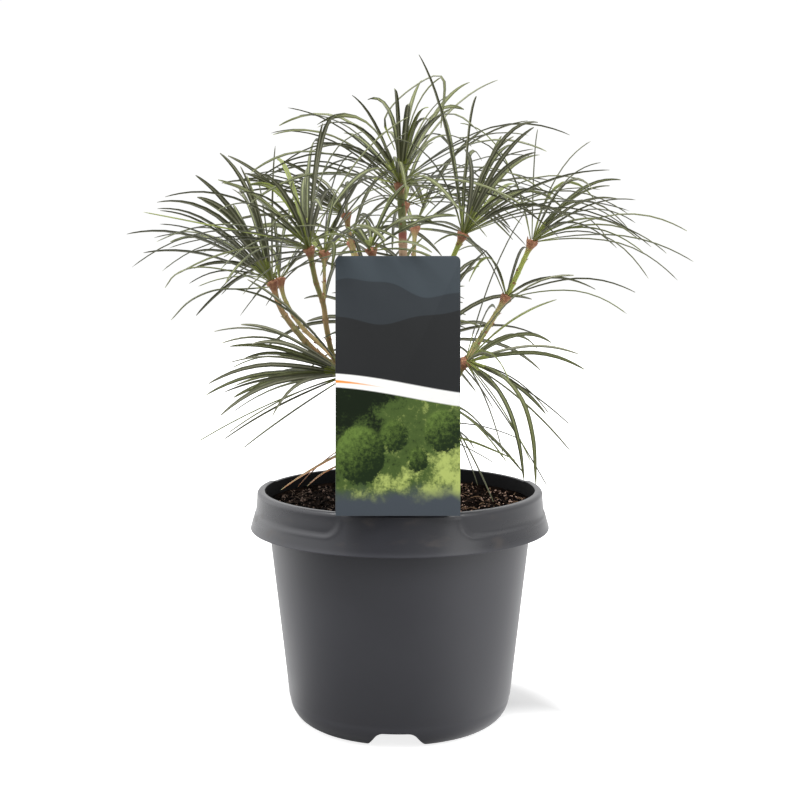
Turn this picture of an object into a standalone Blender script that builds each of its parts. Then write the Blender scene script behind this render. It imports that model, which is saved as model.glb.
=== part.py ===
"""A young umbrella pine in a round nursery pot, with a plain picture card hooked over the rim.

Metres, +Z up. The origin is on the pot's axis in the plane of its foot, and the front is -Y.
"""

import math
import random

import bmesh
import bpy
import numpy as np
from mathutils import Matrix, Vector

# Clearance between pieces that touch
GAP = 0.0003

# Pot, a 19 cm container
POT_HEIGHT = 0.150
RIM_RADIUS = 0.095
BAND_RADIUS = 0.0912
MOUTH_RADIUS = 0.0856
SKIRT_HEIGHT = 0.1256
BAND_FOOT = 0.1375
BODY_TOP_RADIUS = 0.0831
BODY_FOOT_RADIUS = 0.0693
WALL = 0.0015
LIP_ROUND = 0.0015
# Where the wall steps out to the mouth, a little below the lip
STEP_LOW = 0.1362
STEP_HIGH = 0.1404
FOOT_ROUND = 0.0168
FOOT_LINE = 0.0176
FOOT_STEP = 0.0006
# The floor is a pad that stands on the ground, with a raised channel round it for the drain holes
PAD_RADIUS = 0.028
PAD_SLOPE = 0.005
CHANNEL_HEIGHT = 0.012
FLOOR_THICKNESS = 0.002
CHANNEL_TOP = CHANNEL_HEIGHT + FLOOR_THICKNESS
PAD_WALL = 0.0013
TURN_STEPS = 32
SEAT_HALF_ANGLE = math.radians(23)
NOTCHES = 3
NOTCH_TOP_WIDTH = 0.022
NOTCH_FOOT_WIDTH = 0.037
NOTCH_HEIGHT = 0.0114
NOTCH_INNER = 0.044
NOTCH_OUTER = 0.090
NOTCH_TURN = math.radians(-2)
DRAIN_HOLES = 6
DRAIN_RADIUS = 0.0045
DRAIN_CIRCLE = 0.0425
DRAIN_TURN = math.radians(33)

# Soil
SOIL_TOP = 0.1398
SOIL_CROWN = 0.0006
SOIL_EDGE_DROP = 0.0012
SOIL_EDGE_RADIUS = 0.0815

# Card
CARD_WIDTH = 0.0724
CARD_HEIGHT = 0.1505
CARD_MIDDLE = -0.0011
CARD_THICKNESS = 0.0006
CARD_CORNER = 0.003
CARD_FRONT = -0.0925
CARD_LEAN = math.radians(7.1)
STAKE_WIDTH = 0.018
STAKE_DEPTH = 0.034
# How far behind the axis plane the stake stands at the lip, and how far it leans in below it
STAKE_BACK = -0.0832
STAKE_LEAN = 0.0066

# Plant
GOLDEN_TURN = math.radians(137.508)
KNOB_RADIUS = 0.0032
# The lowest whorl stands round the trunk, so its knob is a ring
RING_INNER = 0.0057
RING_MIDDLE = 0.0067
RING_OUTER = 0.0080
RING_HALF_HEIGHT = 0.0017
NEEDLE_WIDTH = 0.0030
NEEDLE_KEEL = 0.0011
# Step along the needle, and its width there as a share of the full width
NEEDLE_STEPS = 25
NEEDLE_SHAPE = ((0, 0.40), (8, 1.0), (18, 0.86), (NEEDLE_STEPS, 0.0))
NEEDLE_ROOT = 0.0020
NEEDLE_SWAY = 0.55
NEEDLE_ARCH = (0.5, 1.6)
SAMPLE = 0.004
FINE_SAMPLE = 0.001
TRIES = 12
CLEAR_OF_SOIL = 0.0022
CLEAR_OF_RIM = 0.003
CLEAR_OF_CARD = 0.0035
LIMB_STATIONS = 6
TRUNK_STATIONS = 12

LEAF_GREEN = (0.055, 0.085, 0.030)
SHOOT_GREEN = (0.20, 0.19, 0.055)
BARK_BROWN = (0.16, 0.085, 0.035)
POT_GREY = (0.068, 0.072, 0.078)
PEAT_BROWN = (0.028, 0.016, 0.010)
CARD_SLATE = (0.060, 0.075, 0.090)


def whorl(name, at, axis, count, length, lean, tilt, droop, seed):
    """One ring of needles, in millimetres and degrees: where its knob is, which way it opens, how long
    its needles are, which way they are drawn, how far its first and last needles lean out, how far
    they droop, and the seed of its small differences."""
    axis = np.array(axis, float)
    return {
        "name": name,
        "at": np.array(at, float) / 1000,
        "axis": axis / np.linalg.norm(axis),
        "count": count,
        "length": length / 1000,
        "lean": np.array(lean, float),
        "tilt": tilt,
        "droop": droop,
        "seed": seed,
    }


# Whorls, the ones that show most first
WHORLS = [
    whorl("left_low", (-78.5, -20, 281.5), (-0.49, 0.09, 0.87), 23, 97,
          (-0.02, 0.09, 0.13), (8, 43), 0.33, 936),
    whorl("left_low_back", (-76.5, 16, 281.5), (-0.29, 0.25, 0.92), 13, 65,
          (-0.06, 0.4, 0.02), (15, 75), 0.38, 412),
    whorl("left_front", (-54.2, -45, 303.0), (-0.02, -0.16, 0.99), 23, 103,
          (-0.82, -0.02, 0.2), (12, 81), 0.44, 250),
    whorl("left_inner", (-47.1, -6, 298.5), (-0.07, 0.07, 0.99), 17, 103,
          (-0.36, 0.03, -0.44), (12, 64), 0.59, 491),
    whorl("low_front", (-17.0, -52, 302.5), (-0.22, -0.26, 0.94), 13, 58,
          (0.22, -0.01, 0.28), (8, 101), 0.46, 137),
    whorl("top", (0.1, 0, 342.0), (0.03, -0.03, 1), 36, 113,
          (-0.04, -0.01, 0.11), (4, 99), 0.51, 581),
    whorl("right_mid", (67.0, 5, 270.6), (0.42, 0, 0.9), 10, 85,
          (0.14, -0.21, 0.41), (34, 65), 0.55, 396),
    whorl("right_inner", (38.7, -20, 311.0), (0.26, -0.04, 0.97), 24, 111,
          (0.6, -0.02, 0.5), (4, 80), 0.45, 379),
    whorl("right_high", (83.4, 10, 305.5), (0.74, -0.04, 0.68), 21, 97,
          (-0.08, -0.1, 0.51), (3, 67), 0.67, 166),
    whorl("left_skirt", (-32.0, -36, 226.2), (-0.95, -0.12, 0.28), 23, 97,
          (-0.34, -0.03, 0.08), (5, 64), 0.26, 676),
    whorl("right_skirt", (40.2, -36, 234.2), (0.98, -0.16, 0.09), 15, 92,
          (0.51, 0.04, 0.15), (15, 104), 0.45, 593),
    whorl("right_foot", (25.7, -12, 206.6), (0.78, -0.23, 0.58), 10, 68,
          (0.41, -0.11, -0.28), (30, 100), 0.67, 595),
    whorl("foot", (1.4, 0, 187.3), (-0.15, -0.03, 0.99), 10, 110,
          (0.01, 0.05, -0.21), (78, 108), 0.6, 960),
    whorl("left_back", (-35.1, 45, 322.5), (-0.23, 0.19, 0.96), 19, 78,
          (-0.27, 0.07, 0.28), (18, 89), 0.28, 411),
    whorl("right_back", (3.0, 55, 329.0), (0.01, 0.21, 0.98), 21, 102,
          (-0.02, 0.06, 0.07), (14, 86), 0.52, 684),
    whorl("back_left", (-32.5, 85, 303.2), (-0.4, 0.45, 0.8), 19, 94,
          (0.2, 0.42, 0.02), (23, 89), 0.68, 437),
    whorl("back_right", (10.4, 100, 313.0), (-0.29, 0.5, 0.82), 20, 100,
          (-0.09, 0.33, 0.01), (5, 104), 0.24, 115),
    whorl("low_back_left", (-17.0, 85, 244.0), (-0.1, 0.8, 0.6), 18, 74,
          (0, 0.4, 0), (20, 96), 0.45, 18),
    whorl("low_back_right", (20.3, 70, 237.1), (0.31, 0.72, 0.62), 18, 80,
          (0.15, 0.3, 0), (20, 96), 0.45, 19),
    whorl("low_inner", (0.1, -45, 257.4), (0, -0.53, 0.85), 12, 50,
          (0, -0.1, 0), (25, 95), 0.3, 20),
]
AT = {each["name"]: each["at"] for each in WHORLS}
FORK = (-0.0463, -0.034, 0.2687)

# Limbs: name, the places its middle line passes, and the radius at its root and at its tip
LIMBS = [
    ("trunk", [(-0.0010, 0.003, SOIL_TOP + SOIL_CROWN + GAP), (0.0008, 0.001, 0.165), (0.0028, 0, 0.240),
               (0.0019, 0, 0.305), AT["top"]], 0.0052, 0.0028),
    ("bough_left", [(-0.002, 0, 0.198), (-0.016, -0.010, 0.209), (-0.0330, -0.016, 0.2235),
                    (-0.0542, -0.022, 0.2413), (-0.0719, -0.022, 0.2636), AT["left_low"]], 0.0036, 0.0019),
    ("twig_left_skirt", [(-0.022, -0.012, 0.2145), (-0.0265, -0.026, 0.2195),
                         AT["left_skirt"]], 0.0022, 0.0020),
    ("shoot_left_front", [(-0.0330, -0.016, 0.2235), (-0.0408, -0.027, 0.2367), (-0.0447, -0.033, 0.2557),
                          FORK, (-0.0506, -0.040, 0.2836), AT["left_front"]], 0.0023, 0.0020),
    ("shoot_left_low_back", [(-0.0330, -0.016, 0.2235), (-0.0446, -0.006, 0.2372), (-0.0620, 0.004, 0.2525),
                             (-0.0725, 0.012, 0.2680), AT["left_low_back"]], 0.0019, 0.0017),
    ("shoot_left_inner", [FORK, (-0.0463, -0.022, 0.2780), AT["left_inner"]], 0.0014, 0.0013),
    ("bough_right", [(0.003, 0, 0.193), (0.014, -0.006, 0.199), AT["right_foot"]], 0.0034, 0.0030),
    ("bough_right_outer", [AT["right_foot"], (0.033, -0.016, 0.219), (0.0412, -0.017, 0.2326),
                           (0.0525, -0.008, 0.2495), AT["right_mid"]], 0.0029, 0.0021),
    ("twig_right_skirt", [(0.0345, -0.017, 0.2215), (0.0370, -0.027, 0.2270),
                          AT["right_skirt"]], 0.0022, 0.0020),
    ("shoot_right_high", [AT["right_mid"], (0.0758, 0.008, 0.2890), AT["right_high"]], 0.0021, 0.0019),
    ("shoot_right_inner", [(0.0035, 0, 0.240), (0.018, -0.008, 0.262), (0.0321, -0.016, 0.2955),
                           AT["right_inner"]], 0.0022, 0.0019),
    ("shoot_low_front", [(0.003, 0, 0.226), (-0.006, -0.030, 0.258), (-0.0135, -0.048, 0.288),
                         AT["low_front"]], 0.0019, 0.0016),
    ("shoot_left_back", [(0.003, 0, 0.233), (-0.012, 0.022, 0.262), (-0.030, 0.041, 0.300),
                         AT["left_back"]], 0.0020, 0.0018),
    ("shoot_right_back", [(0.0028, 0, 0.250), (0.0026, 0.026, 0.280), (0.0024, 0.048, 0.310),
                          AT["right_back"]], 0.0020, 0.0018),
    ("shoot_back_left", [(0.002, 0, 0.210), (-0.013, 0.038, 0.236), (-0.028, 0.072, 0.275),
                         AT["back_left"]], 0.0021, 0.0018),
    ("shoot_back_right", [(0.003, 0, 0.219), (0.006, 0.045, 0.248), (0.009, 0.082, 0.285),
                          AT["back_right"]], 0.0021, 0.0018),
    ("shoot_low_back_left", [(0.001, 0, 0.172), (-0.006, 0.030, 0.196), (-0.014, 0.066, 0.224),
                             AT["low_back_left"]], 0.0021, 0.0018),
    ("shoot_low_back_right", [(0.002, 0, 0.198), (0.010, 0.030, 0.212), (0.017, 0.056, 0.224),
                              AT["low_back_right"]], 0.0021, 0.0018),
    ("shoot_low_inner", [(0.002, 0, 0.205), (0.001, -0.026, 0.228), (0, -0.041, 0.248),
                         AT["low_inner"]], 0.0019, 0.0016),
]
ROOT_FLARE = 0.0035
FLARE_HEIGHT = 0.012


def clear_scene():
    for obj in list(bpy.data.objects):
        bpy.data.objects.remove(obj, do_unlink=True)


def new_collection(name):
    made = bpy.data.collections.new(name)
    bpy.context.scene.collection.children.link(made)
    return made


def material(name, colour, roughness):
    made = bpy.data.materials.new(name)
    made.use_nodes = True
    shader = made.node_tree.nodes["Principled BSDF"]
    shader.inputs["Base Color"].default_value = (*colour, 1)
    shader.inputs["Roughness"].default_value = roughness
    shader.inputs["Metallic"].default_value = 0
    return made


def mesh_object(name, points, faces, home, finish=None):
    mesh = bpy.data.meshes.new(name)
    mesh.from_pydata([tuple(map(float, p)) for p in points], [], faces)
    obj = bpy.data.objects.new(name, mesh)
    home.objects.link(obj)
    if finish:
        mesh.materials.append(finish)
    return obj


def smooth(obj, angle=math.radians(35)):
    obj.data.shade_smooth()
    obj.data.set_sharp_from_angle(angle=angle)


def turned(name, profile, home, finish=None, angle=math.tau, steps=TURN_STEPS):
    """A profile of (radius, height) points, listed down its outer side, turned about Z."""
    points = [(radius, 0, height) for radius, height in profile]
    mesh = bpy.data.meshes.new(name)
    closed = angle < math.tau
    edges = [(i, i + 1) for i in range(len(points) - 1)] + ([(len(points) - 1, 0)] if closed else [])
    mesh.from_pydata(points, edges, [])
    obj = bpy.data.objects.new(name, mesh)
    home.objects.link(obj)
    if finish:
        mesh.materials.append(finish)
    screw = obj.modifiers.new("turn", "SCREW")
    screw.axis = "Z"
    screw.angle = angle
    screw.steps = steps
    screw.render_steps = steps
    screw.use_merge_vertices = not closed
    screw.merge_threshold = 0.00001
    screw.use_smooth_shade = True
    return obj


def applied(obj):
    """Makes the object's mesh what its modifiers give."""
    graph = bpy.context.evaluated_depsgraph_get()
    mesh = bpy.data.meshes.new_from_object(obj.evaluated_get(graph))
    obj.modifiers.clear()
    obj.data = mesh
    return obj


def boolean(obj, other, operation):
    cut = obj.modifiers.new(operation.lower(), "BOOLEAN")
    cut.operation = operation
    cut.solver = "EXACT"
    cut.object = other


def arc(centre, radius, start, end, count):
    """Points on an arc, given in degrees, without its first point."""
    angles = [math.radians(start + (end - start) * i / count) for i in range(1, count + 1)]
    return [(centre[0] + radius * math.cos(a), centre[1] + radius * math.sin(a)) for a in angles]


def body_radius(height):
    """The pot body's outer radius: a straight cone."""
    return BODY_FOOT_RADIUS + (BODY_TOP_RADIUS - BODY_FOOT_RADIUS) * height / SKIRT_HEIGHT


def pot_profile():
    """The pot's section: up its inside, over the lip, round the folded collar, down and under the foot."""
    flare = BAND_FOOT - 2 * WALL
    foot_centre = (body_radius(FOOT_LINE) - FOOT_ROUND - FOOT_STEP, FOOT_ROUND)
    inner_round = FOOT_ROUND - 0.0018
    floor_angle = math.degrees(math.asin((CHANNEL_HEIGHT - FOOT_ROUND) / inner_round))
    inside = [
        (0, FLOOR_THICKNESS),
        (PAD_RADIUS - PAD_WALL, FLOOR_THICKNESS),
        (PAD_RADIUS + PAD_SLOPE - PAD_WALL, CHANNEL_TOP),
        (body_radius(CHANNEL_TOP) - 3 * WALL, CHANNEL_TOP),
        (body_radius(FOOT_LINE) - WALL, FOOT_LINE + 0.001),
        (body_radius(STEP_LOW) - WALL, STEP_LOW),
        (MOUTH_RADIUS, STEP_HIGH),
        (MOUTH_RADIUS, POT_HEIGHT - LIP_ROUND / 2),
        (MOUTH_RADIUS + LIP_ROUND / 2, POT_HEIGHT),
        (BAND_RADIUS - LIP_ROUND, POT_HEIGHT),
    ]
    collar = arc((BAND_RADIUS - LIP_ROUND, POT_HEIGHT - LIP_ROUND), LIP_ROUND, 90, 0, 3) + [
        (BAND_RADIUS, BAND_FOOT),
        (BAND_RADIUS + 0.0009, flare + 0.0012),
        (RIM_RADIUS - 0.0012, flare),
        (RIM_RADIUS, SKIRT_HEIGHT),
        (RIM_RADIUS - WALL, SKIRT_HEIGHT),
        (RIM_RADIUS - WALL - 0.0010, flare - 0.0010),
        (BAND_RADIUS - WALL, BAND_FOOT - 0.0012),
        (BAND_RADIUS - WALL, POT_HEIGHT - WALL - 0.0012),
        (MOUTH_RADIUS + WALL, POT_HEIGHT - WALL - 0.0004),
        (MOUTH_RADIUS + WALL, STEP_HIGH - 0.0002),
        (body_radius(STEP_LOW), STEP_LOW - FOOT_STEP),
    ]
    outside = [
        (body_radius(FOOT_LINE), FOOT_LINE),
        (body_radius(FOOT_LINE) - FOOT_STEP, FOOT_ROUND),
    ]
    outside += arc(foot_centre, FOOT_ROUND, 0, -90, 5)
    foot_inside = foot_centre[0] - 0.003
    outside += [(foot_inside, 0), (foot_inside, 0.0018), (foot_centre[0], 0.0018)]
    outside += arc(foot_centre, inner_round, -90, floor_angle, 2)
    outside += [(PAD_RADIUS + PAD_SLOPE, CHANNEL_HEIGHT), (PAD_RADIUS, 0), (0, 0)]
    return inside + collar + outside


def pot(home, cutters, finish):
    """The thin-walled pot with its folded collar, three foot notches and drain holes."""
    obj = applied(turned("pot", pot_profile(), home, finish))
    seat_profile = [
        (BAND_RADIUS - 0.0001, POT_HEIGHT - 0.0025),
        (RIM_RADIUS - 0.0005, SKIRT_HEIGHT + 0.0030),
        (RIM_RADIUS - 0.0011, SKIRT_HEIGHT + 0.0034),
        (RIM_RADIUS - 0.0018, BAND_FOOT - 0.0035),
        (BAND_RADIUS + 0.0004, BAND_FOOT - 0.0022),
        (BAND_RADIUS - 0.0007, BAND_FOOT - 0.0006),
        (BAND_RADIUS - 0.0008, POT_HEIGHT - 0.0035),
    ]
    seat = turned("card_seat", seat_profile, cutters, None, 2 * SEAT_HALF_ANGLE, 8)
    applied(seat)
    cap_ends(seat.data)
    seat.rotation_euler.z = -math.pi / 2 - SEAT_HALF_ANGLE
    guide(seat)
    boolean(obj, seat, "UNION")
    for i in range(NOTCHES):
        notch = foot_notch(f"foot_notch_{i + 1}", cutters)
        notch.rotation_euler.z = NOTCH_TURN + math.tau * i / NOTCHES
        boolean(obj, notch, "DIFFERENCE")
    for i in range(DRAIN_HOLES):
        turn = DRAIN_TURN + math.tau * i / DRAIN_HOLES
        place = (DRAIN_CIRCLE * math.cos(turn), DRAIN_CIRCLE * math.sin(turn), CHANNEL_HEIGHT)
        bpy.ops.mesh.primitive_cylinder_add(vertices=12, radius=DRAIN_RADIUS, depth=0.012, location=place)
        hole = bpy.context.object
        hole.name = f"drain_hole_{i + 1}"
        move_to(hole, cutters)
        guide(hole)
        boolean(obj, hole, "DIFFERENCE")
    applied(obj)
    for cutter in list(cutters.objects):
        bpy.data.objects.remove(cutter, do_unlink=True)
    weld(obj.data)
    drop_scraps(obj.data)
    smooth(obj)
    return obj


def cap_ends(mesh):
    """Closes the two open ends of a part turn and points its faces outwards."""
    shape = bmesh.new()
    shape.from_mesh(mesh)
    bmesh.ops.holes_fill(shape, edges=[edge for edge in shape.edges if edge.is_boundary])
    bmesh.ops.recalc_face_normals(shape, faces=shape.faces)
    shape.to_mesh(mesh)
    shape.free()


def guide(obj):
    obj.hide_render = True
    obj.display_type = "WIRE"


def move_to(obj, home):
    for collection in list(obj.users_collection):
        collection.objects.unlink(obj)
    home.objects.link(obj)


def foot_notch(name, home):
    """A wedge wider at the ground than at its top, running out under the pot's wall on its -Y side."""
    below = 0.004
    grow = (NOTCH_FOOT_WIDTH - NOTCH_TOP_WIDTH) / 2 / CHANNEL_HEIGHT
    top, foot = NOTCH_TOP_WIDTH / 2, NOTCH_FOOT_WIDTH / 2 + grow * below
    section = [(-foot, -below), (foot, -below), (top, NOTCH_HEIGHT), (-top, NOTCH_HEIGHT)]
    points = [(x, -NOTCH_INNER, z) for x, z in section] + [(x, -NOTCH_OUTER, z) for x, z in section]
    faces = [(0, 1, 2, 3), (7, 6, 5, 4), (4, 5, 1, 0), (5, 6, 2, 1), (6, 7, 3, 2), (7, 4, 0, 3)]
    obj = mesh_object(name, points, faces, home)
    shape = bmesh.new()
    shape.from_mesh(obj.data)
    bmesh.ops.recalc_face_normals(shape, faces=shape.faces)
    shape.to_mesh(obj.data)
    shape.free()
    guide(obj)
    return obj


def soil(home, cutters, finish):
    """The root ball's peat: it fills the pot and has a slit for the card's stake."""
    floor_top = CHANNEL_TOP + GAP
    pad_top = FLOOR_THICKNESS + GAP
    profile = [
        (0, SOIL_TOP + SOIL_CROWN),
        (0.030, SOIL_TOP + SOIL_CROWN * 0.5),
        (0.060, SOIL_TOP - GAP),
        (SOIL_EDGE_RADIUS, SOIL_TOP - SOIL_EDGE_DROP),
        (body_radius(STEP_LOW) - WALL - GAP, STEP_LOW),
        (body_radius(FOOT_LINE) - WALL - GAP, FOOT_LINE + 0.0012),
        (body_radius(floor_top) - 3 * WALL - 2 * GAP, floor_top),
        (PAD_RADIUS + PAD_SLOPE - PAD_WALL - 0.0001, floor_top),
        (PAD_RADIUS - PAD_WALL - 0.0004, pad_top),
        (0, pad_top),
    ]
    obj = applied(turned("soil", profile, home, finish))
    wide, thick = STAKE_WIDTH + 2 * GAP, CARD_THICKNESS + 2 * GAP
    slit = strip("stake_slit", stake_path()[2:], wide, thick, cutters, 0.0006)
    guide(slit)
    boolean(obj, slit, "DIFFERENCE")
    applied(obj)
    bpy.data.objects.remove(slit, do_unlink=True)
    smooth(obj)
    return obj


def stake_path():
    """The stake's middle line, as (y, z): from the card over the lip and down inside the pot."""
    over = POT_HEIGHT + GAP + CARD_THICKNESS / 2
    return [
        (CARD_FRONT, over),
        (STAKE_BACK - CARD_THICKNESS, over),
        (STAKE_BACK, POT_HEIGHT - 2 * CARD_THICKNESS),
        (STAKE_BACK + STAKE_LEAN, POT_HEIGHT - STAKE_DEPTH),
    ]


def strip(name, path, width, thickness, home, longer=0.0, finish=None):
    """A flat strip of even thickness that follows a path in the YZ plane."""
    path = [Vector(p) for p in path]
    if longer:
        path[-1] += (path[-1] - path[-2]).normalized() * longer
    half = thickness / 2
    one, two = [], []
    for i, point in enumerate(path):
        before = (point - path[i - 1]).normalized() if i else (path[1] - point).normalized()
        after = (path[i + 1] - point).normalized() if i + 1 < len(path) else before
        middle = (before + after).normalized()
        side = Vector((-middle.y, middle.x)) * (half / max(middle.dot(before), 0.3))
        one.append(point + side)
        two.append(point - side)
    outline = one + two[::-1]
    shape = bmesh.new()
    face = shape.faces.new([shape.verts.new((-width / 2, p.x, p.y)) for p in outline])
    pushed = bmesh.ops.extrude_face_region(shape, geom=[face])["geom"]
    moved = [v for v in pushed if isinstance(v, bmesh.types.BMVert)]
    bmesh.ops.translate(shape, vec=(width, 0, 0), verts=moved)
    bmesh.ops.recalc_face_normals(shape, faces=shape.faces)
    obj = mesh_object(name, [], [], home, finish)
    shape.to_mesh(obj.data)
    shape.free()
    return obj


def card(home, cutters, finish):
    """The picture card, leaning back a little, with a stake that hooks over the lip into the soil."""
    outline = bpy.data.curves.new("card", "CURVE")
    outline.dimensions = "2D"
    outline.fill_mode = "BOTH"
    outline.extrude = CARD_THICKNESS / 2
    half, corner = CARD_WIDTH / 2, CARD_CORNER
    points = [(-half, 0), (half, 0), (half, CARD_HEIGHT - corner)]
    points += arc((half - corner, CARD_HEIGHT - corner), corner, 0, 90, 5)
    points += [(-half + corner, CARD_HEIGHT)]
    points += arc((-half + corner, CARD_HEIGHT - corner), corner, 90, 180, 5)
    spline = outline.splines.new("POLY")
    spline.points.add(len(points) - 1)
    for place, (x, y) in zip(spline.points, points):
        place.co = (x, y, 0, 1)
    spline.use_cyclic_u = True
    drawn = bpy.data.objects.new("card_outline", outline)
    home.objects.link(drawn)
    drawn.location = (CARD_MIDDLE, CARD_FRONT, POT_HEIGHT + GAP)
    drawn.rotation_euler.x = math.pi / 2 - CARD_LEAN
    bpy.context.view_layer.update()
    graph = bpy.context.evaluated_depsgraph_get()
    mesh = bpy.data.meshes.new_from_object(drawn.evaluated_get(graph))
    mesh.transform(drawn.matrix_world)
    bpy.data.objects.remove(drawn, do_unlink=True)
    weld(mesh)
    mesh.materials.clear()
    mesh.materials.append(finish)
    obj = bpy.data.objects.new("card", mesh)
    home.objects.link(obj)
    stake = strip("stake", stake_path(), STAKE_WIDTH, CARD_THICKNESS, cutters)
    guide(stake)
    boolean(obj, stake, "UNION")
    applied(obj)
    bpy.data.objects.remove(stake, do_unlink=True)
    return obj


def weld(mesh):
    shape = bmesh.new()
    shape.from_mesh(mesh)
    bmesh.ops.remove_doubles(shape, verts=shape.verts, dist=0.000001)
    bmesh.ops.recalc_face_normals(shape, faces=shape.faces)
    shape.to_mesh(mesh)
    shape.free()


def smooth_line(places, pieces=12):
    """Points on one smooth curve through the places, closely spaced."""
    places = [np.array(p, float) for p in places]
    places = [2 * places[0] - places[1]] + places + [2 * places[-1] - places[-2]]
    line = []
    for a, b, c, d in zip(places, places[1:], places[2:], places[3:]):
        for k in range(pieces):
            t = k / pieces
            line.append(0.5 * (2 * b + (c - a) * t + (2 * a - 5 * b + 4 * c - d) * t * t
                               + (3 * b - a - 3 * c + d) * t ** 3))
    line.append(places[-2])
    return np.array(line)


def limb_radius(name, share, height, root, tip):
    """A limb's radius: an even taper, and at the foot of the trunk a flare."""
    radius = root + (tip - root) * share
    if name == "trunk":
        above = (height - SOIL_TOP) / FLARE_HEIGHT
        radius += ROOT_FLARE * math.exp(-2.2 * max(above, 0))
    return radius


def clear_limbs():
    """Each limb as points and radii, cut back at both ends until it is just clear of what it meets."""
    near = np.array([[*each["at"], KNOB_RADIUS] for each in WHORLS if each["name"] != "foot"])
    made = []
    for name, places, root, tip in LIMBS:
        line = smooth_line(places, 24)
        shares = np.linspace(0, 1, len(line))
        radii = np.array([limb_radius(name, s, p[2], root, tip) for s, p in zip(shares, line)])
        tangents = np.gradient(line, axis=0)
        tangents /= np.linalg.norm(tangents, axis=1)[:, None]
        free = [room(*each, near) >= GAP for each in zip(line, tangents, radii)]
        middle = len(line) // 2
        start = max([i + 1 for i, is_free in enumerate(free) if not is_free and i < middle], default=0)
        blocked = [i for i, is_free in enumerate(free) if not is_free and i >= middle]
        end = blocked[0] - 1 if blocked else len(line) - 1
        if start > 0:
            line[start] = first_clear(line[start - 1], line[start], tangents[start], radii[start], near)
        if end < len(line) - 1:
            line[end] = first_clear(line[end + 1], line[end], tangents[end], radii[end], near)
        count, crowd = (TRUNK_STATIONS, 1.6) if name == "trunk" else (LIMB_STATIONS, 1.0)
        keep = start + np.round((end - start) * np.linspace(0, 1, count) ** crowd).astype(int)
        keep = np.unique(keep)
        made.append((name, line[keep], radii[keep]))
        near = np.concatenate([near, dense(line[keep], radii[keep])])
    return made


def room(place, tangent, radius, near):
    """How far a round limb's end at this place lies from the balls near it."""
    side, front = across(tangent)
    turns = [math.tau * i / 12 for i in range(12)]
    edge = np.array([place] + [place + radius * (side * math.cos(t) + front * math.sin(t)) for t in turns])
    away = np.linalg.norm(edge[:, None] - near[None, :, :3], axis=2) - near[None, :, 3]
    return away.min()


def first_clear(blocked, free, tangent, radius, near):
    """The place between a blocked one and a free one where a limb's end is just clear."""
    for _ in range(10):
        middle = (blocked + free) / 2
        if room(middle, tangent, radius, near) < GAP:
            blocked = middle
        else:
            free = middle
    return free


def dense(line, radii, step=0.0006):
    """The line as balls close enough together to stand for the tube."""
    balls = []
    for a, b, r, q in zip(line, line[1:], radii, radii[1:]):
        count = max(1, int(np.linalg.norm(b - a) / step))
        for i in range(count):
            t = i / count
            balls.append([*(a + (b - a) * t), r + (q - r) * t])
    balls.append([*line[-1], radii[-1]])
    return np.array(balls)


def across(direction):
    """Two directions at right angles to the one given, and to each other."""
    other = (1.0, 0, 0) if abs(direction[1]) > 0.9 else (0, 1.0, 0)
    side = np.cross(direction, other)
    side = side / np.linalg.norm(side)
    return side, np.cross(direction, side)


def limb(name, line, radii, home, finish):
    """A tapering round limb, flat at both ends. The trunk's foot is cut level, just above the soil."""
    curve = bpy.data.curves.new(name, "CURVE")
    curve.dimensions = "3D"
    curve.bevel_depth = 1.0
    curve.bevel_resolution = 2
    curve.use_fill_caps = True
    spline = curve.splines.new("POLY")
    spline.points.add(len(line) - 1)
    for place, point, radius in zip(spline.points, line, radii):
        place.co = (*map(float, point), 1)
        place.radius = float(radius)
    drawn = bpy.data.objects.new(name + "_line", curve)
    home.objects.link(drawn)
    graph = bpy.context.evaluated_depsgraph_get()
    mesh = bpy.data.meshes.new_from_object(drawn.evaluated_get(graph))
    bpy.data.objects.remove(drawn, do_unlink=True)
    weld(mesh)
    if name == "trunk":
        cut_level(mesh, SOIL_TOP + SOIL_CROWN + GAP)
    mesh.materials.clear()
    mesh.materials.append(finish)
    obj = bpy.data.objects.new(name, mesh)
    home.objects.link(obj)
    smooth(obj, math.radians(50))
    return obj


def cut_level(mesh, height):
    """Takes off what is below a height and closes the cut with a flat face."""
    shape = bmesh.new()
    shape.from_mesh(mesh)
    geometry = shape.verts[:] + shape.edges[:] + shape.faces[:]
    bmesh.ops.bisect_plane(
        shape, geom=geometry, dist=0.000001, plane_co=(0, 0, height), plane_no=(0, 0, 1), clear_inner=True
    )
    bmesh.ops.holes_fill(shape, edges=[edge for edge in shape.edges if edge.is_boundary])
    bmesh.ops.recalc_face_normals(shape, faces=shape.faces)
    shape.to_mesh(mesh)
    shape.free()


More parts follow.
